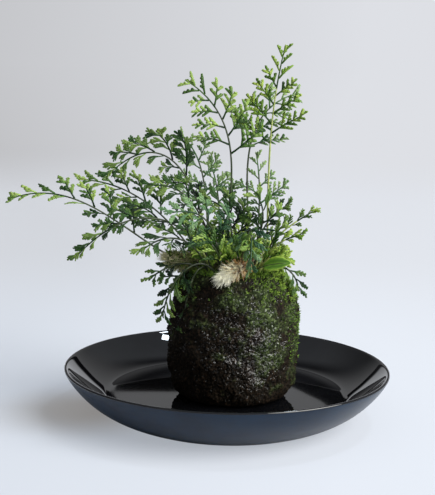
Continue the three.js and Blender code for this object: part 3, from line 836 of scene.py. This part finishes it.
# %% Moss tufts
SHOULDER = 78
BRIGHT_ABOVE = 80
FLANK_FOOT = 38
IN_PATCHES = 0.015
ON_SHOULDERS = 0.16
ON_FLANK = 0.35
TOP_TUFTS = 900
STEM_TUFTS = 260
MOSS_STOPS = [(0, (0.03, 0.02, 0.006)), (0.25, (0.037, 0.085, 0.008)), (0.6, (0.145, 0.265, 0.028)),
              (1, (0.33, 0.48, 0.07))]


def add_tuft(cones, place, up, height, leaves, tone, draw):
    """A sheaf of thin leaves that stand on a place and spread round its up direction."""
    for _ in range(leaves):
        way = (up + any_way(draw) * 0.75).normalized()
        tip = place + way * height * draw.uniform(0.6, 1.2) * MM
        cones.append((place - up * 0.3 * MM, tip, draw.uniform(0.2, 0.36) * MM,
                      within_one(tone + draw.uniform(-0.25, 0.25))))


def skin_moss(place, green):
    """The chance of a tuft on a vertex of the skin."""
    offset = (place - ball_axis) / MM
    right = offset.x / 41
    shoulder = max(0, (place.z / MM - SHOULDER) / 18)
    side = 2 * max(0, right - 0.1) + 1.2 * max(0, -right - 0.35)
    flank = max(0, right - 0.7) * within_one((place.z / MM - FLANK_FOOT) / 25)
    return IN_PATCHES * max(0, green - 0.7) + ON_SHOULDERS * shoulder * side + ON_FLANK * flank


draw = random.Random("moss")
cones = []
for place, normal, green in skin:
    if draw.random() < skin_moss(place, green):
        high = place.z >= BRIGHT_ABOVE * MM
        height = draw.uniform(1.1, 2.4) if high else draw.uniform(0.8, 1.6)
        brightest = 1 if place.x > BALL_MIDDLE.x and place.z > BRIGHT_ABOVE * MM else 0.6
        add_tuft(cones, place, (normal + Vector((0, 0, 0.4))).normalized(), height, 4,
                 draw.uniform(0.45 * brightest, brightest), draw)
for _ in range(TOP_TUFTS):
    angle, share = draw.uniform(0, math.tau), math.sqrt(draw.uniform(0.05, 1.15))
    across = Vector((math.cos(angle), math.sin(angle), 0)) * share * OPENING_RADIUS
    place = in_place([(BALL_CENTRE[0] + across.x, BALL_CENTRE[1] + across.y, SOIL_TOP + 0.2)])[0]
    up = (Vector((0, 0, 1)) + across / OPENING_RADIUS * 0.6).normalized()
    add_tuft(cones, place, up, draw.uniform(2, 5.5), 5, draw.uniform(0.1, 0.9), draw)
furry = RHIZOMES["rhizome_left"]
rib = Rib(furry["through"], RHIZOME_FACING)
for _ in range(STEM_TUFTS):
    point, along, across, up = rib.frame(rib.length * draw.uniform(0.35, 1))
    angle = draw.uniform(0, math.tau)
    out = across * math.cos(angle) + up * math.sin(angle)
    add_tuft(cones, point + out * furry["radius"] * 0.8 * MM, out, draw.uniform(1.5, 4), 4,
             draw.uniform(0.15, 0.8), draw)
moss = bmesh.new()
moss.verts.layers.float.new("tone")
add_cones(moss, cones)
live_moss, tree, shader = new_material("live_moss", Roughness=0.6, Specular_IOR_Level=0.25)
paint(tree, shader, attribute(tree, "tone"), MOSS_STOPS)
bump(tree, shader, noise_of(tree, 2500, detail=1), 0.3, 0.0002)
finish_piece("live_moss", moss, [live_moss], None)

# %% [markdown]
# ## Fronds
# A frond of this fern is cut three times: the blade into leaflets, these into small lobed
# leaves, and those into blunt fingers. It could be modelled leaf by leaf in space, but a frond
# grows flat and then arches. So it is drawn flat, in millimetres, with X along the rib, and then
# bent as one sheet along the rib's curve, by the same rule as the solid that it stands for.

# %% Numbers of the fern
ROOT_LENGTH = 6
RIB_HALF_WIDTH = 0.45
FIRST_LOBE = 0.2
LOBED_SHARE = 0.66
UPPER_SHIFT = 0.4
LOBE_REACH = 0.36
LOBE_SHORTENING = 0.75
LEAF_ANGLE = math.radians(40)
CROWDING = 1.3
ANGLE_LOSS = 16
SHORTEST_LEAFLET = 3
WHOLE_LEAFLET = 14
ROOM_FOR_LEAF = 6.5
END_LEAF = 7
END_LEAF_STARTS = 2.5
STIPE_RADII = (0.72, 0.6)
LOWER_RIB_RADII = (0.6, 0.5)
UPPER_RIB_RADII = (0.55, 0.4)
LEAFLET_RIB_RADII = (0.5, 0.45, 0.32)
THICKNESS = 0.34
DROOP = 0.006
WAVE = 0.14
WAVE_LENGTH = 23

# %% [markdown]
# The fronds follow, each with the four points of its rib, the way that its upper face looks, the
# fold along its rib in degrees, and the share of the rib that is bare. `reach` is the length of
# the first leaflets, `taper` how they shorten, `spread` their angle and `side` where the first
# one grows. Some fronds also say how deeply their leaves are `cut`, how wide a `finger` is, and
# how `small` or `slender` they are. `lower` scales the leaflets of the side that hangs down, and
# `fresh` is where along the rib the colour starts to turn to that of the tips.

# %% The fronds
FRONDS = {
    "tall_right": {
        "through": [(24, 4, SOIL_TOP), (24, 12, 142), (25.5, 17, 189), (33, 22, 238)],
        "facing": (-0.2, -1, 0.1), "fold": 12, "bare": 0.56, "reach": 28, "taper": 1.25,
        "spread": 48, "leaflets": 12, "side": 1, "cut": 0.8, "finger": 1.6, "small": 0.9,
        "look": "leaf_bright",
    },
    "tall_left": {
        "through": [(0, -2, SOIL_TOP), (-0.5, -3, 139), (-3, -5, 181), (-30, -9, 215)],
        "facing": (0.2, -1, 0.15), "fold": 10, "bare": 0.57, "fresh": 0.4, "reach": 26, "taper": 1,
        "spread": 56, "leaflets": 12, "side": -1, "cut": 0.75, "finger": 1.7, "small": 0.9,
        "look": "leaf_green",
    },
    "back_right": {
        "through": [(11, 7, SOIL_TOP), (11, 17, 137), (14, 28, 180), (44, 42, 207)],
        "facing": (-0.3, -0.9, 0.4), "fold": 10, "bare": 0.6, "reach": 24, "taper": 0.9,
        "spread": 56, "leaflets": 10, "side": -1, "cut": 0.85, "finger": 1.5, "small": 0.85,
        "look": "leaf_pale",
    },
    "back_sprig": {
        "through": [(18, 11, SOIL_TOP), (18.5, 21, 118), (19, 31, 143), (16, 38, 168)],
        "facing": (0, -1, 0.4), "fold": 5, "bare": 0.55, "reach": 21, "taper": 1.9, "spread": 52,
        "leaflets": 7, "side": -1, "look": "leaf_pale",
    },
    "back_left_small": {
        "through": [(-8, 11, SOIL_TOP), (-7, 25, 120), (-9, 38, 143), (-16, 49, 163)],
        "facing": (0, -1, 0.5), "fold": 10, "bare": 0.5, "reach": 16, "taper": 1, "spread": 54,
        "leaflets": 8, "side": 1, "look": "leaf_pale",
    },
    "back_mid": {
        "through": [(-12, 6, SOIL_TOP), (-15, 19, 126), (-20, 32, 157), (-36, 45, 178)],
        "facing": (0.2, -0.9, 0.5), "fold": 15, "bare": 0.42, "reach": 22, "taper": 1, "spread": 54,
        "leaflets": 10, "side": 1, "finger": 1.0, "look": "leaf_pale",
    },
    "arch_upper_left": {
        "through": [(-15, 2, SOIL_TOP), (-20, 4, 134), (-41, 4, 166), (-78, -4, 154)],
        "facing": (0.1, -1, 0.45), "fold": 18, "bare": 0.45, "fresh": 0.2, "reach": 23,
        "taper": 0.8, "spread": 42, "leaflets": 12, "side": 1, "cut": 1.5, "finger": 1.15,
        "lower": 0.7, "look": "leaf_dark",
    },
    "mid_left": {
        "through": [(-17, 6, SOIL_TOP), (-38, 14, 121), (-65, 18, 141), (-99, 17, 149)],
        "facing": (0.1, -0.9, 0.6), "fold": 20, "bare": 0.36, "reach": 22, "taper": 1, "spread": 46,
        "leaflets": 12, "side": 1, "finger": 1.4, "slender": 1.08, "look": "leaf_green",
    },
    "long_left": {
        "through": [(-19, -1, SOIL_TOP), (-58, -9, 117), (-96, -11, 139), (-140, -9, 138)],
        "facing": (0.1, -0.75, 0.7), "fold": 30, "bare": 0.36, "reach": 25, "taper": 0.85,
        "spread": 46, "leaflets": 14, "side": -1, "cut": 1.05, "finger": 1.6, "slender": 0.85,
        "lower": 0.8, "look": "leaf_green",
    },
    "droop_left": {
        "through": [(-11, 0, SOIL_TOP), (-34, -16, 125), (-63, -29, 129), (-94, -40, 107)],
        "facing": (0, -0.7, 0.8), "fold": 25, "bare": 0.42, "reach": 18, "taper": 0.9, "spread": 40,
        "leaflets": 12, "side": 1, "cut": 1.45, "finger": 1.1, "lower": 0.7, "look": "leaf_dark",
    },
    "left_inner": {
        "through": [(-6, 4, SOIL_TOP), (-17, -3, 126), (-31, -9, 145), (-52, -13, 149)],
        "facing": (0.1, -1, 0.6), "fold": 15, "bare": 0.46, "reach": 14, "taper": 0.8, "spread": 46,
        "leaflets": 10, "side": 1, "cut": 1.5, "finger": 1.0, "look": "leaf_dark",
    },
    "front_left": {
        "through": [(-13, -19, SOIL_TOP), (-22, -28, 113), (-36, -41, 121), (-53, -57, 115)],
        "facing": (-0.2, -0.8, 0.7), "fold": 10, "bare": 0.36, "reach": 16, "taper": 0.9,
        "spread": 44, "leaflets": 9, "side": -1, "cut": 1.5, "finger": 0.9, "look": "leaf_dark",
    },
    "front_centre": {
        "through": [(-6, -18.5, SOIL_TOP), (-9, -27, 118), (-18, -36, 134), (-39, -44, 136)],
        "facing": (0, -1, 0.5), "fold": 12, "bare": 0.34, "reach": 17, "taper": 0.9, "spread": 56,
        "leaflets": 10, "side": 1, "cut": 1.2, "finger": 0.95, "look": "leaf_teal",
    },
    "front_drop": {
        "through": [(9, -2, SOIL_TOP), (11, -15, 122), (12.5, -33, 123), (12, -47, 102)],
        "facing": (-0.3, 0, 1), "fold": -10, "bare": 0.36, "reach": 15, "taper": 1.0, "spread": 50,
        "leaflets": 11, "side": -1, "cut": 1.3, "finger": 1.45, "slender": 0.95, "lower": 1.15,
        "look": "leaf_teal",
    },
    "right_low": {
        "through": [(17, -6, SOIL_TOP), (27, -5, 114), (39, -6, 126), (55, -8, 137)],
        "facing": (-0.1, -1, 0.4), "fold": 15, "bare": 0.4, "reach": 13, "taper": 1, "spread": 40,
        "leaflets": 8, "side": 1, "cut": 1.25, "finger": 0.85, "slender": 0.72, "lower": 0.75,
        "look": "leaf_bright",
    },
    "right_low_front": {
        "through": [(18.5, -14, SOIL_TOP), (24, -17, 109), (33, -22, 118), (45, -29, 123)],
        "facing": (-0.1, -0.9, 0.6), "fold": 15, "bare": 0.34, "reach": 12, "taper": 1,
        "spread": 42, "leaflets": 8, "side": -1, "cut": 1.1, "finger": 1.1, "slender": 0.85,
        "lower": 0.8, "look": "leaf_bright",
    },
    "right_short": {
        "through": [(16, 1, SOIL_TOP), (18, 3, 111), (24, 4, 126), (38, 3, 138)],
        "facing": (-0.1, -1, 0.3), "fold": 10, "bare": 0.38, "reach": 12, "taper": 0.8,
        "spread": 42, "leaflets": 8, "side": -1, "cut": 1.3, "finger": 1.0, "slender": 0.85,
        "lower": 0.8, "look": "leaf_dark",
    },
    "mid_short": {
        "through": [(4, -3, SOIL_TOP), (4, -4.5, 110), (2, -6, 127), (-5, -6.8, 141)],
        "facing": (0, -1, 0.3), "fold": 10, "bare": 0.4, "reach": 15, "taper": 0.8, "spread": 54,
        "leaflets": 8, "side": 1, "cut": 1.3, "look": "leaf_dark",
    },
    "centre_dark": {
        "through": [(-1.2, -14.8, SOIL_TOP), (1, -13, 117), (-3, -13, 134), (-19, -13, 142)],
        "facing": (0.05, -1, 0.5), "fold": 8, "bare": 0.5, "reach": 14, "taper": 0.8, "spread": 52,
        "leaflets": 8, "side": -1, "cut": 1.3, "finger": 1.05, "look": "leaf_dark",
    },
    "centre_top": {
        "through": [(13.2, -9.3, SOIL_TOP), (17.5, -12.5, 116), (20, -16, 133), (14, -19, 147)],
        "facing": (0, -1, 0.4), "fold": 8, "bare": 0.54, "reach": 13, "taper": 0.8, "spread": 52,
        "leaflets": 7, "side": 1, "cut": 1.3, "look": "leaf_green",
    },
    "centre_green": {
        "through": [(-2.5, -24, SOIL_TOP), (-6, -32, 107), (-11, -39, 117), (-19, -45, 124)],
        "facing": (0, -1, 0.3), "fold": 8, "bare": 0.35, "reach": 10, "taper": 0.8, "spread": 50,
        "leaflets": 7, "side": 1, "look": "leaf_green",
    },
    "right_mid": {
        "through": [(21, -9.5, SOIL_TOP), (24, -10.5, 107), (27.5, -12, 118), (35, -14, 129)],
        "facing": (-0.1, -1, 0.3), "fold": 8, "bare": 0.35, "reach": 9, "taper": 0.8, "spread": 42,
        "leaflets": 7, "side": 1, "cut": 1.2, "slender": 0.85, "lower": 0.8, "look": "leaf_green",
    },
    "left_short": {
        "through": [(-10, -17, SOIL_TOP), (-15, -16.3, 108), (-20, -17, 121), (-27.5, -18, 133)],
        "facing": (0.1, -1, 0.3), "fold": 8, "bare": 0.4, "reach": 11, "taper": 0.8, "spread": 52,
        "leaflets": 7, "side": 1, "cut": 1.2, "look": "leaf_green",
    },
    "hang_left": {
        "through": [(-8, -24, SOIL_TOP), (-20, -29.5, 103.5), (-33, -34.5, 93.5), (-40.5, -34, 70)],
        "facing": (-0.5, -0.8, 0.5), "fold": 10, "bare": 0.45, "reach": 10, "taper": 0.8,
        "spread": 52, "leaflets": 10, "side": 1, "cut": 1.2, "slender": 1.15, "look": "leaf_dark",
    },
    "left_sprig": {
        "through": [(-17.5, -16, SOIL_TOP), (-26.5, -20, 102), (-39, -23, 99.5), (-50, -27, 92)],
        "facing": (0, -0.7, 0.8), "fold": 10, "bare": 0.5, "reach": 5.5, "taper": 0.8, "spread": 50,
        "leaflets": 6, "side": 1, "cut": 1.2, "look": "leaf_dark",
    },
    "right_sprig": {
        "through": [(23.5, -13.5, SOIL_TOP), (31, -17, 101), (39, -19, 97), (43.5, -21, 86)],
        "facing": (0.2, -0.8, 0.7), "fold": 10, "bare": 0.45, "reach": 7, "taper": 0.8,
        "spread": 50, "leaflets": 6, "side": -1, "cut": 1.2, "look": "leaf_dark",
    },
}
print("fronds:", len(FRONDS))

# %% [markdown]
# ### One small leaf
# A small leaf is a narrow blade with blunt fingers on both sides, which point forwards and are
# longer on the side towards the tip of its parent. The whole leaf curves away from that tip, and
# is rolled a little about its own length, so that neighbours catch the light differently. How
# light or dark it is, its `tone`, is noted on its corners for the material.

# %% Small leaves
OUTWARD_BEND = 0.42
FIRST_FINGER = 0.27
LAST_FINGER = 0.88
FINGER_REACH = 0.32
FINGER_ANGLE = 40
CUT_CLOSES_BY = 11
FINGER_GAP = 1.2
FINGER_HALF_WIDTHS = [(0, 0.5), (0.4, 0.85), (0.78, 1), (0.97, 0.55)]


def finger_outline(length, width):
    """A blunt finger along X, as corners anticlockwise from its root."""
    right = [Vector((share * length, -half * width / 2)) for share, half in FINGER_HALF_WIDTHS]
    return right + [Vector((corner.x, -corner.y)) for corner in reversed(right)]


def leaf_fingers(length, width, cut, draw):
    """The blade and the fingers of a leaf along X: where each starts, its turn and its size."""
    fingers = [(0, 0, length, 1.1 * width)]
    for side, share, first in ((-1, 1, FIRST_FINGER), (1, 1.1 * cut - 0.65, FIRST_FINGER + 0.1)):
        start = first * length
        while start < LAST_FINGER * length:
            reach = share * cut * (FINGER_REACH * (length - start) + 1.1) + 0.3
            reach *= draw.uniform(0.85, 1.15)
            turn = side * math.radians(FINGER_ANGLE - CUT_CLOSES_BY * cut + draw.uniform(-4, 4))
            fingers.append((start, turn, reach, width * draw.uniform(0.85, 1.1)))
            start += (FINGER_GAP + width) * draw.uniform(0.9, 1.1)
    return fingers


def draw_small_leaf(bm, root, heading, length, hand, look, draw):
    """Adds one small leaf to a frond's plan. It is on the side hand of its parent."""
    tones = bm.verts.layers.float["tone"]
    width, cut = look[:2]
    turn = Matrix.Rotation(heading - hand * OUTWARD_BEND / 2, 2)
    lean = draw.uniform(-0.45, 0.45)
    lift = draw.uniform(-0.15, 0.15)
    tone = draw.random()
    for start, angle, reach, wide in leaf_fingers(length, width, cut, draw):
        rise = lift + draw.uniform(-0.05, 0.05)
        corners = []
        for corner in finger_outline(reach, wide):
            point = Vector((start, 0)) + Matrix.Rotation(angle, 2) @ corner
            bend = OUTWARD_BEND * point.x * point.x / (2 * length)
            flat = root + turn @ Vector((point.x, hand * (point.y + bend)))
            cup = 0.05 * point.y * point.y + 0.012 * point.x * point.x
            placed = bm.verts.new((flat.x, flat.y, rise + point.y * math.sin(lean) - cup))
            placed[tones] = tone
            corners.append(placed)
        if hand < 0:
            corners.reverse()
        bm.faces.new(corners)


# %% [markdown]
# ### The flat plan of a frond
# The places, angles and lengths of the leaflets follow the solid's rule. A leaflet carries pairs
# of small leaves, about one pair to each 6.5 mm, and one at its end, and a short leaflet is one
# small leaf. The faces are split into triangles and drawn out to a third of a millimetre all at
# once, and the ribs are tapered rods.

# %% Plan of a frond
def leaflet_station(frond, index):
    return 1 - max(0, 1 - index / (frond["leaflets"] + 0.6)) ** CROWDING


def draw_leaflet(bm, rods, at, side, angle, length, room, look, draw):
    """One leaflet: small leaves by turns on both sides of its rib, and one at the end."""
    heading = side * (angle + draw.uniform(-0.06, 0.06))
    root = Vector((at, side * RIB_HALF_WIDTH))
    if length < WHOLE_LEAFLET:
        draw_small_leaf(bm, root, heading, length, side, look, draw)
        return
    along = Vector((math.cos(heading), math.sin(heading)))
    over = Vector((-along.y, along.x)) * side * draw.uniform(0.002, 0.008)
    per_side = max(2, round(length / ROOM_FOR_LEAF))
    spacing = LOBED_SHARE * length / per_side
    for k in range(per_side):
        for hand in (-1, 1):
            reach = FIRST_LOBE * length + spacing * (k + (UPPER_SHIFT if hand > 0 else 0))
            longest = LOBE_REACH * (length - LOBE_SHORTENING * reach) + 2
            leaf = min(longest, 1.3 * spacing + 1.5 * room) * look[2] * draw.uniform(0.88, 1.12)
            place = root + along * reach + over * reach * reach
            turn = heading + hand * (LEAF_ANGLE + draw.uniform(-0.1, 0.1))
            draw_small_leaf(bm, place, turn, leaf, hand, look, draw)
    last = (FIRST_LOBE + LOBED_SHARE) * length - END_LEAF_STARTS
    end = root + along * last + over * last * last
    draw_small_leaf(bm, end, heading, length - last, side, look, draw)
    middle = root + along * last / 2 + over * last * last / 4
    thick, medium, thin = LEAFLET_RIB_RADII
    rods.append((root, middle, thick + 0.006 * length, medium))
    rods.append((middle, end, medium, thin))


def thicken(bm):
    """Draws all the faces out to the thickness of a leaf, half of it to each side."""
    grown = bmesh.ops.extrude_face_region(bm, geom=bm.faces[:], use_keep_orig=True)
    new_verts = [e for e in grown["geom"] if isinstance(e, bmesh.types.BMVert)]
    bmesh.ops.translate(bm, verts=new_verts, vec=(0, 0, THICKNESS))
    bmesh.ops.translate(bm, verts=bm.verts, vec=(0, 0, -THICKNESS / 2))


def frond_plan(frond, length, draw):
    """The flat blade of a frond, the rods of its leaflets, and where the blade starts."""
    bm = bmesh.new()
    bm.verts.layers.float.new("tone")
    rods = []
    look = (frond.get("finger", 1.15), frond.get("cut", 1), frond.get("small", 1))
    blade_start = frond["bare"] * length
    blade = length - blade_start
    low_side = 1 if frond["through"][-1][0] < frond["through"][0][0] else -1
    for i in range(frond["leaflets"]):
        side = frond["side"] if i % 2 == 0 else -frond["side"]
        share = leaflet_station(frond, i)
        angle = math.radians(frond["spread"] - ANGLE_LOSS * share)
        room = 0.5 * (leaflet_station(frond, i + 2) - share) * blade * math.sin(angle)
        reach = frond["reach"] * (1 - share) ** frond["taper"] + SHORTEST_LEAFLET + 3.5 * share
        reach *= frond.get("slender", 1) * (frond.get("lower", 1) if side == low_side else 1)
        at = blade_start + share * blade
        draw_leaflet(bm, rods, at, side, angle, reach, room, look, draw)
    draw_small_leaf(bm, Vector((length - END_LEAF, 0)), 0, END_LEAF, 1, look, draw)
    bmesh.ops.triangulate(bm, faces=bm.faces)
    thicken(bm)
    return bm, rods, blade_start


def add_rod(bm, start, end, thick, thin, sides, cuts, material=1):
    """A tapered rod in the plan, cut across so that it can bend."""
    rod = bmesh.new()
    reach = end - start
    bmesh.ops.create_cone(rod, cap_ends=True, segments=sides, radius1=thick, radius2=thin,
                          depth=reach.length)
    lengthways = [e for e in rod.edges if abs(e.verts[0].co.z - e.verts[1].co.z) > reach.length / 2]
    bmesh.ops.subdivide_edges(rod, edges=lengthways, cuts=cuts, use_grid_fill=True)
    lay = Vector((reach.x, reach.y, 0)).to_track_quat("Z", "Y").to_matrix().to_4x4()
    middle = (start + end) / 2
    rod.transform(Matrix.Translation((middle.x, middle.y, 0)) @ lay)
    for face in rod.faces:
        face.material_index = material
    join_to(bm, rod)


# %% [markdown]
# ### Bending the plan
# A point of the plan goes as far along the rib as it is along X, and as far across as it is along
# Y. The two halves fold up or down along the rib, ripple a little and droop towards their edges.

# %% Bending the plan along the rib
TIP_WEIGHT = 0.7
EDGE_WEIGHT = 0.3
EDGE_SPAN = 60


def lay_on_rib(bm, rib, fold_degrees, fresh):
    """Bends the flat plan, and notes on each vertex how near the tips it is."""
    fold = math.radians(fold_degrees)
    tip_share = bm.verts.layers.float.new("tip_share")
    for vertex in bm.verts:
        distance, offset, height = vertex.co
        span = abs(offset)
        ripple = WAVE * math.sin(math.tau * distance / WAVE_LENGTH + math.copysign(1, offset))
        lift = (math.sin(fold) + ripple * min(1, span / 2)) * span - DROOP * span * span
        point, along, across, up = rib.frame(distance)
        vertex.co = point + (across * offset * math.cos(fold) + up * (lift + height)) * MM
        nearness = (distance - fresh * rib.length) / ((1 - fresh) * rib.length)
        vertex[tip_share] = (within_one(nearness) * TIP_WEIGHT
                             + min(EDGE_WEIGHT, span / EDGE_SPAN))


def make_frond(name, frond, stands_for=None):
    """A frond with its stipe, its rib and its leaflets, in the materials of its look."""
    draw = random.Random(name)
    rib = Rib(frond["through"], frond["facing"])
    bm, rods, blade_start = frond_plan(frond, rib.length, draw)
    for start, end, thick, thin in rods:
        add_rod(bm, start, end, thick, thin, 4, max(1, round((end - start).length / 4)), 0)
    # The stipe and the lower half of the rib are bare, and the upper half is green as the leaves.
    root, stipe_end = Vector((-ROOT_LENGTH, 0)), Vector((blade_start, 0))
    green_from = Vector((0.45 * blade_start + 0.55 * rib.length, 0))
    add_rod(bm, root, stipe_end, *STIPE_RADII, 8, round(blade_start / 3))
    lower = (green_from - stipe_end).length
    add_rod(bm, stipe_end, green_from, *LOWER_RIB_RADII, 6, round(lower / 3))
    add_rod(bm, green_from, Vector((rib.length - 4, 0)), *UPPER_RIB_RADII, 6, 8, 0)
    bmesh.ops.recalc_face_normals(bm, faces=bm.faces)
    lay_on_rib(bm, rib, frond["fold"], frond.get("fresh", frond["bare"]))
    bmesh.ops.recalc_face_normals(bm, faces=bm.faces)
    look = frond["look"]
    materials = [LEAVES[look], PALE_STIPE if look == "leaf_bright" else DARK_STIPE]
    finish_piece(f"{name}_leaves", bm, materials, stands_for)


# %% [markdown]
# ### Leaf colours
# The old fronds are a deep green with a bluish sheen, and the young ones and all the tips are
# yellow-green. `tip_share`, which the bending left on each vertex, and `tone`, which each small
# leaf has of its own, mix the two. The sheen is partly the leaves' own gloss and partly painted
# in, as blue in the base colours. Light also comes through so thin a blade, which subsurface
# scattering gives.

# %% Leaf materials
def leaf_material(name, deep, middle, fresh, roughness=0.4):
    material, tree, shader = new_material(name, Roughness=roughness, Specular_IOR_Level=0.18,
                                          Subsurface_Weight=0.2, Subsurface_Scale=0.0012,
                                          Subsurface_Radius=(0.6, 1, 0.25))
    patches = around_zero(tree, noise_of(tree, 90), 0.9)
    own = around_zero(tree, attribute(tree, "tone"), 0.9)
    leaf = maths(tree, "ADD", attribute(tree, "tip_share"), own)
    paint(tree, shader, maths(tree, "ADD", leaf, patches, clamp=True),
          [(0, deep), (0.45, middle), (1, fresh)])
    bump(tree, shader, noise_of(tree, 1400, detail=2), 0.25, 0.0003)
    return material


def stipe_material(name, dark, light):
    material, tree, shader = new_material(name, Roughness=0.45)
    paint(tree, shader, noise_of(tree, 160, detail=4), [(0.3, dark), (0.7, light)])
    bump(tree, shader, noise_of(tree, 2000, detail=1), 0.2, 0.0002)
    return material


# The blue in these colours is partly the leaves' own and partly a painted sheen.
LEAF_COLOURS = {
    "leaf_dark": ((0.004, 0.014, 0.005), (0.028, 0.074, 0.016), (0.15, 0.23, 0.05)),
    "leaf_teal": ((0.014, 0.042, 0.021), (0.068, 0.155, 0.066), (0.18, 0.3, 0.13), 0.34),
    "leaf_green": ((0.01, 0.032, 0.008), (0.07, 0.145, 0.028), (0.27, 0.39, 0.09)),
    "leaf_bright": ((0.022, 0.06, 0.009), (0.12, 0.225, 0.025), (0.32, 0.44, 0.08)),
    "leaf_pale": ((0.06, 0.13, 0.05), (0.15, 0.25, 0.085), (0.27, 0.38, 0.15)),
}
LEAVES = {name: leaf_material(name, *colours) for name, colours in LEAF_COLOURS.items()}
DARK_STIPE = stipe_material("dark_stipe", (0.010, 0.018, 0.006), (0.045, 0.065, 0.02))
PALE_STIPE = stipe_material("pale_stipe", (0.24, 0.31, 0.07), (0.42, 0.48, 0.15))
for name, frond in FRONDS.items():
    make_frond(name, frond, [name])

# %% [markdown]
# ### Young fronds
# Short young fronds crowd between the stems, where they hide the peat. No solid stands for one,
# so they are drawn from chance within the space that the others fill. The last five are fresh
# and bright, and lean out over the right edge of the opening.

# %% Young fronds
YOUNG = 22
FIRST_ANGLE = 0.7
FRESH_AT = (-38, -30, -20, -9, 3)


def young_frond(name, angle, start, tall, lean, reach, look, draw):
    """A short frond from a place on the soil, which leans outwards as it rises."""
    out = Vector((math.cos(angle), math.sin(angle)))
    foot = Vector(BALL_CENTRE) + out * start
    steps = [foot + out * lean * share * share for share in (0, 0.4, 0.7, 1)]
    make_frond(name, {
        "through": [(step.x, step.y, SOIL_TOP + tall * share)
                    for step, share in zip(steps, (0, 0.4, 0.75, 1))],
        "facing": (out.x * 0.4, -0.8, 0.5), "fold": 8, "bare": 0.3, "reach": reach,
        "taper": 0.8, "spread": 48, "leaflets": 7, "side": draw.choice((-1, 1)), "cut": 1.2,
        "look": look,
    })


draw = random.Random("young")
for number in range(YOUNG):
    place = number + draw.uniform(-0.3, 0.3)
    angle = FIRST_ANGLE + (math.tau - 2 * FIRST_ANGLE) * place / YOUNG
    start = draw.uniform(9, 22)
    tall, lean = draw.uniform(13, 27) - 6 * max(0, math.cos(angle)), draw.uniform(2, 14)
    reach = draw.uniform(7, 11)
    look = draw.choice(("leaf_dark", "leaf_green", "leaf_bright"))
    young_frond(f"young_{number}", angle, start, tall, lean, reach, look, draw)
for number, degrees in enumerate(FRESH_AT):
    young_frond(f"fresh_{number}", math.radians(degrees), draw.uniform(14, 20), draw.uniform(8, 17),
                draw.uniform(13, 19), draw.uniform(4.5, 6.5), "leaf_bright", draw)

# %% [markdown]
# Five more bend over the edge of the opening and hang down the shoulder of the ball: two at the
# left of the front, and three at the back. Each has its angle, how far its tip drops in
# millimetres, and its look.

# %% Fronds over the edge
HANGING = [(200, 10, "leaf_dark"), (219, 36, "leaf_dark"), (48, 12, "leaf_green"),
           (85, 14, "leaf_dark"), (128, 11, "leaf_green")]
for number, (degrees, drop, look) in enumerate(HANGING):
    angle = math.radians(degrees)
    out = Vector((math.cos(angle), math.sin(angle)))
    steps = [(20, 0), (29, draw.uniform(2, 4)), (36.5, -0.25 * drop), (41, -drop)]
    make_frond(f"edge_{number}", {
        "through": [(BALL_CENTRE[0] + out.x * away, BALL_CENTRE[1] + out.y * away, SOIL_TOP + rise)
                    for away, rise in steps],
        "facing": (out.x * 0.7, out.y * 0.7 - 0.4, 0.6), "fold": 8, "bare": 0.35,
        "reach": draw.uniform(2.5, 4.5), "taper": 0.8, "spread": 48, "leaflets": 8,
        "side": draw.choice((-1, 1)), "cut": 1.3, "finger": 1.0, "look": look,
    })

# %% [markdown]
# ## The broad leaf
# One young leaf low on the right is still whole: an oval blade with a shallow trough along the
# middle, and paler towards its edge.

# %% Broad leaf
ROUND_LEAF = {
    "through": [(13.5, -23, SOIL_TOP), (18, -28, 101.5), (27, -33, 105), (37, -36, 106.5)],
    "facing": (0.15, -0.75, 0.65), "fold": 12, "bare": 0.42, "half_width": 5,
}
BROAD_STOPS = [(0.1, (0.1, 0.21, 0.02)), (0.4, (0.05, 0.13, 0.014)), (0.7, (0.1, 0.22, 0.02)),
               (1, (0.28, 0.42, 0.055))]


def oval(share):
    """How wide an oval blade is along its length, where 1 is its widest place."""
    return math.sin(math.pi * (0.02 + 0.97 * share) ** 0.8) ** 0.7


def make_round_leaf(leaf, materials):
    rib = Rib(leaf["through"], leaf["facing"])
    start = leaf["bare"] * rib.length
    blade = rib.length - start
    bm = bmesh.new()
    bmesh.ops.create_grid(bm, x_segments=24, y_segments=8, size=1)
    tones = bm.verts.layers.float.new("tone")
    for vertex in bm.verts:
        share = (vertex.co.x + 1) / 2
        uneven = 1 + 0.04 * math.sin(29 * share)
        width = leaf["half_width"] * oval(share) * uneven
        vertex[tones] = abs(vertex.co.y)
        vertex.co = Vector((start + share * blade, vertex.co.y * width, 0))
    thicken(bm)
    add_rod(bm, Vector((-ROOT_LENGTH, 0)), Vector((rib.length - 3, 0)), 0.7, 0.25, 8, 12)
    bmesh.ops.recalc_face_normals(bm, faces=bm.faces)
    lay_on_rib(bm, rib, leaf["fold"], leaf["bare"])
    bmesh.ops.recalc_face_normals(bm, faces=bm.faces)
    finish_piece("round_leaf_blade", bm, materials, ["round_leaf"])


broad_leaf, tree, shader = new_material("broad_leaf", Roughness=0.3, Specular_IOR_Level=0.4)
uneven = around_zero(tree, noise_of(tree, 260), 0.5)
paint(tree, shader, maths(tree, "ADD", attribute(tree, "tone"), uneven), BROAD_STOPS)
bump(tree, shader, noise_of(tree, 700, detail=2), 0.3, 0.0003)
make_round_leaf(ROUND_LEAF, [broad_leaf, DARK_STIPE])

# %% [markdown]
# ## Sizes
# The finer pieces must keep within the solids' box. Both boxes are printed.

# %% Sizes and the end
sizes = {"cad": [list(corner) for corner in cad_box], "visual": [list(corner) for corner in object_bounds()]}
dumps(sizes)
print(dumps(sizes))
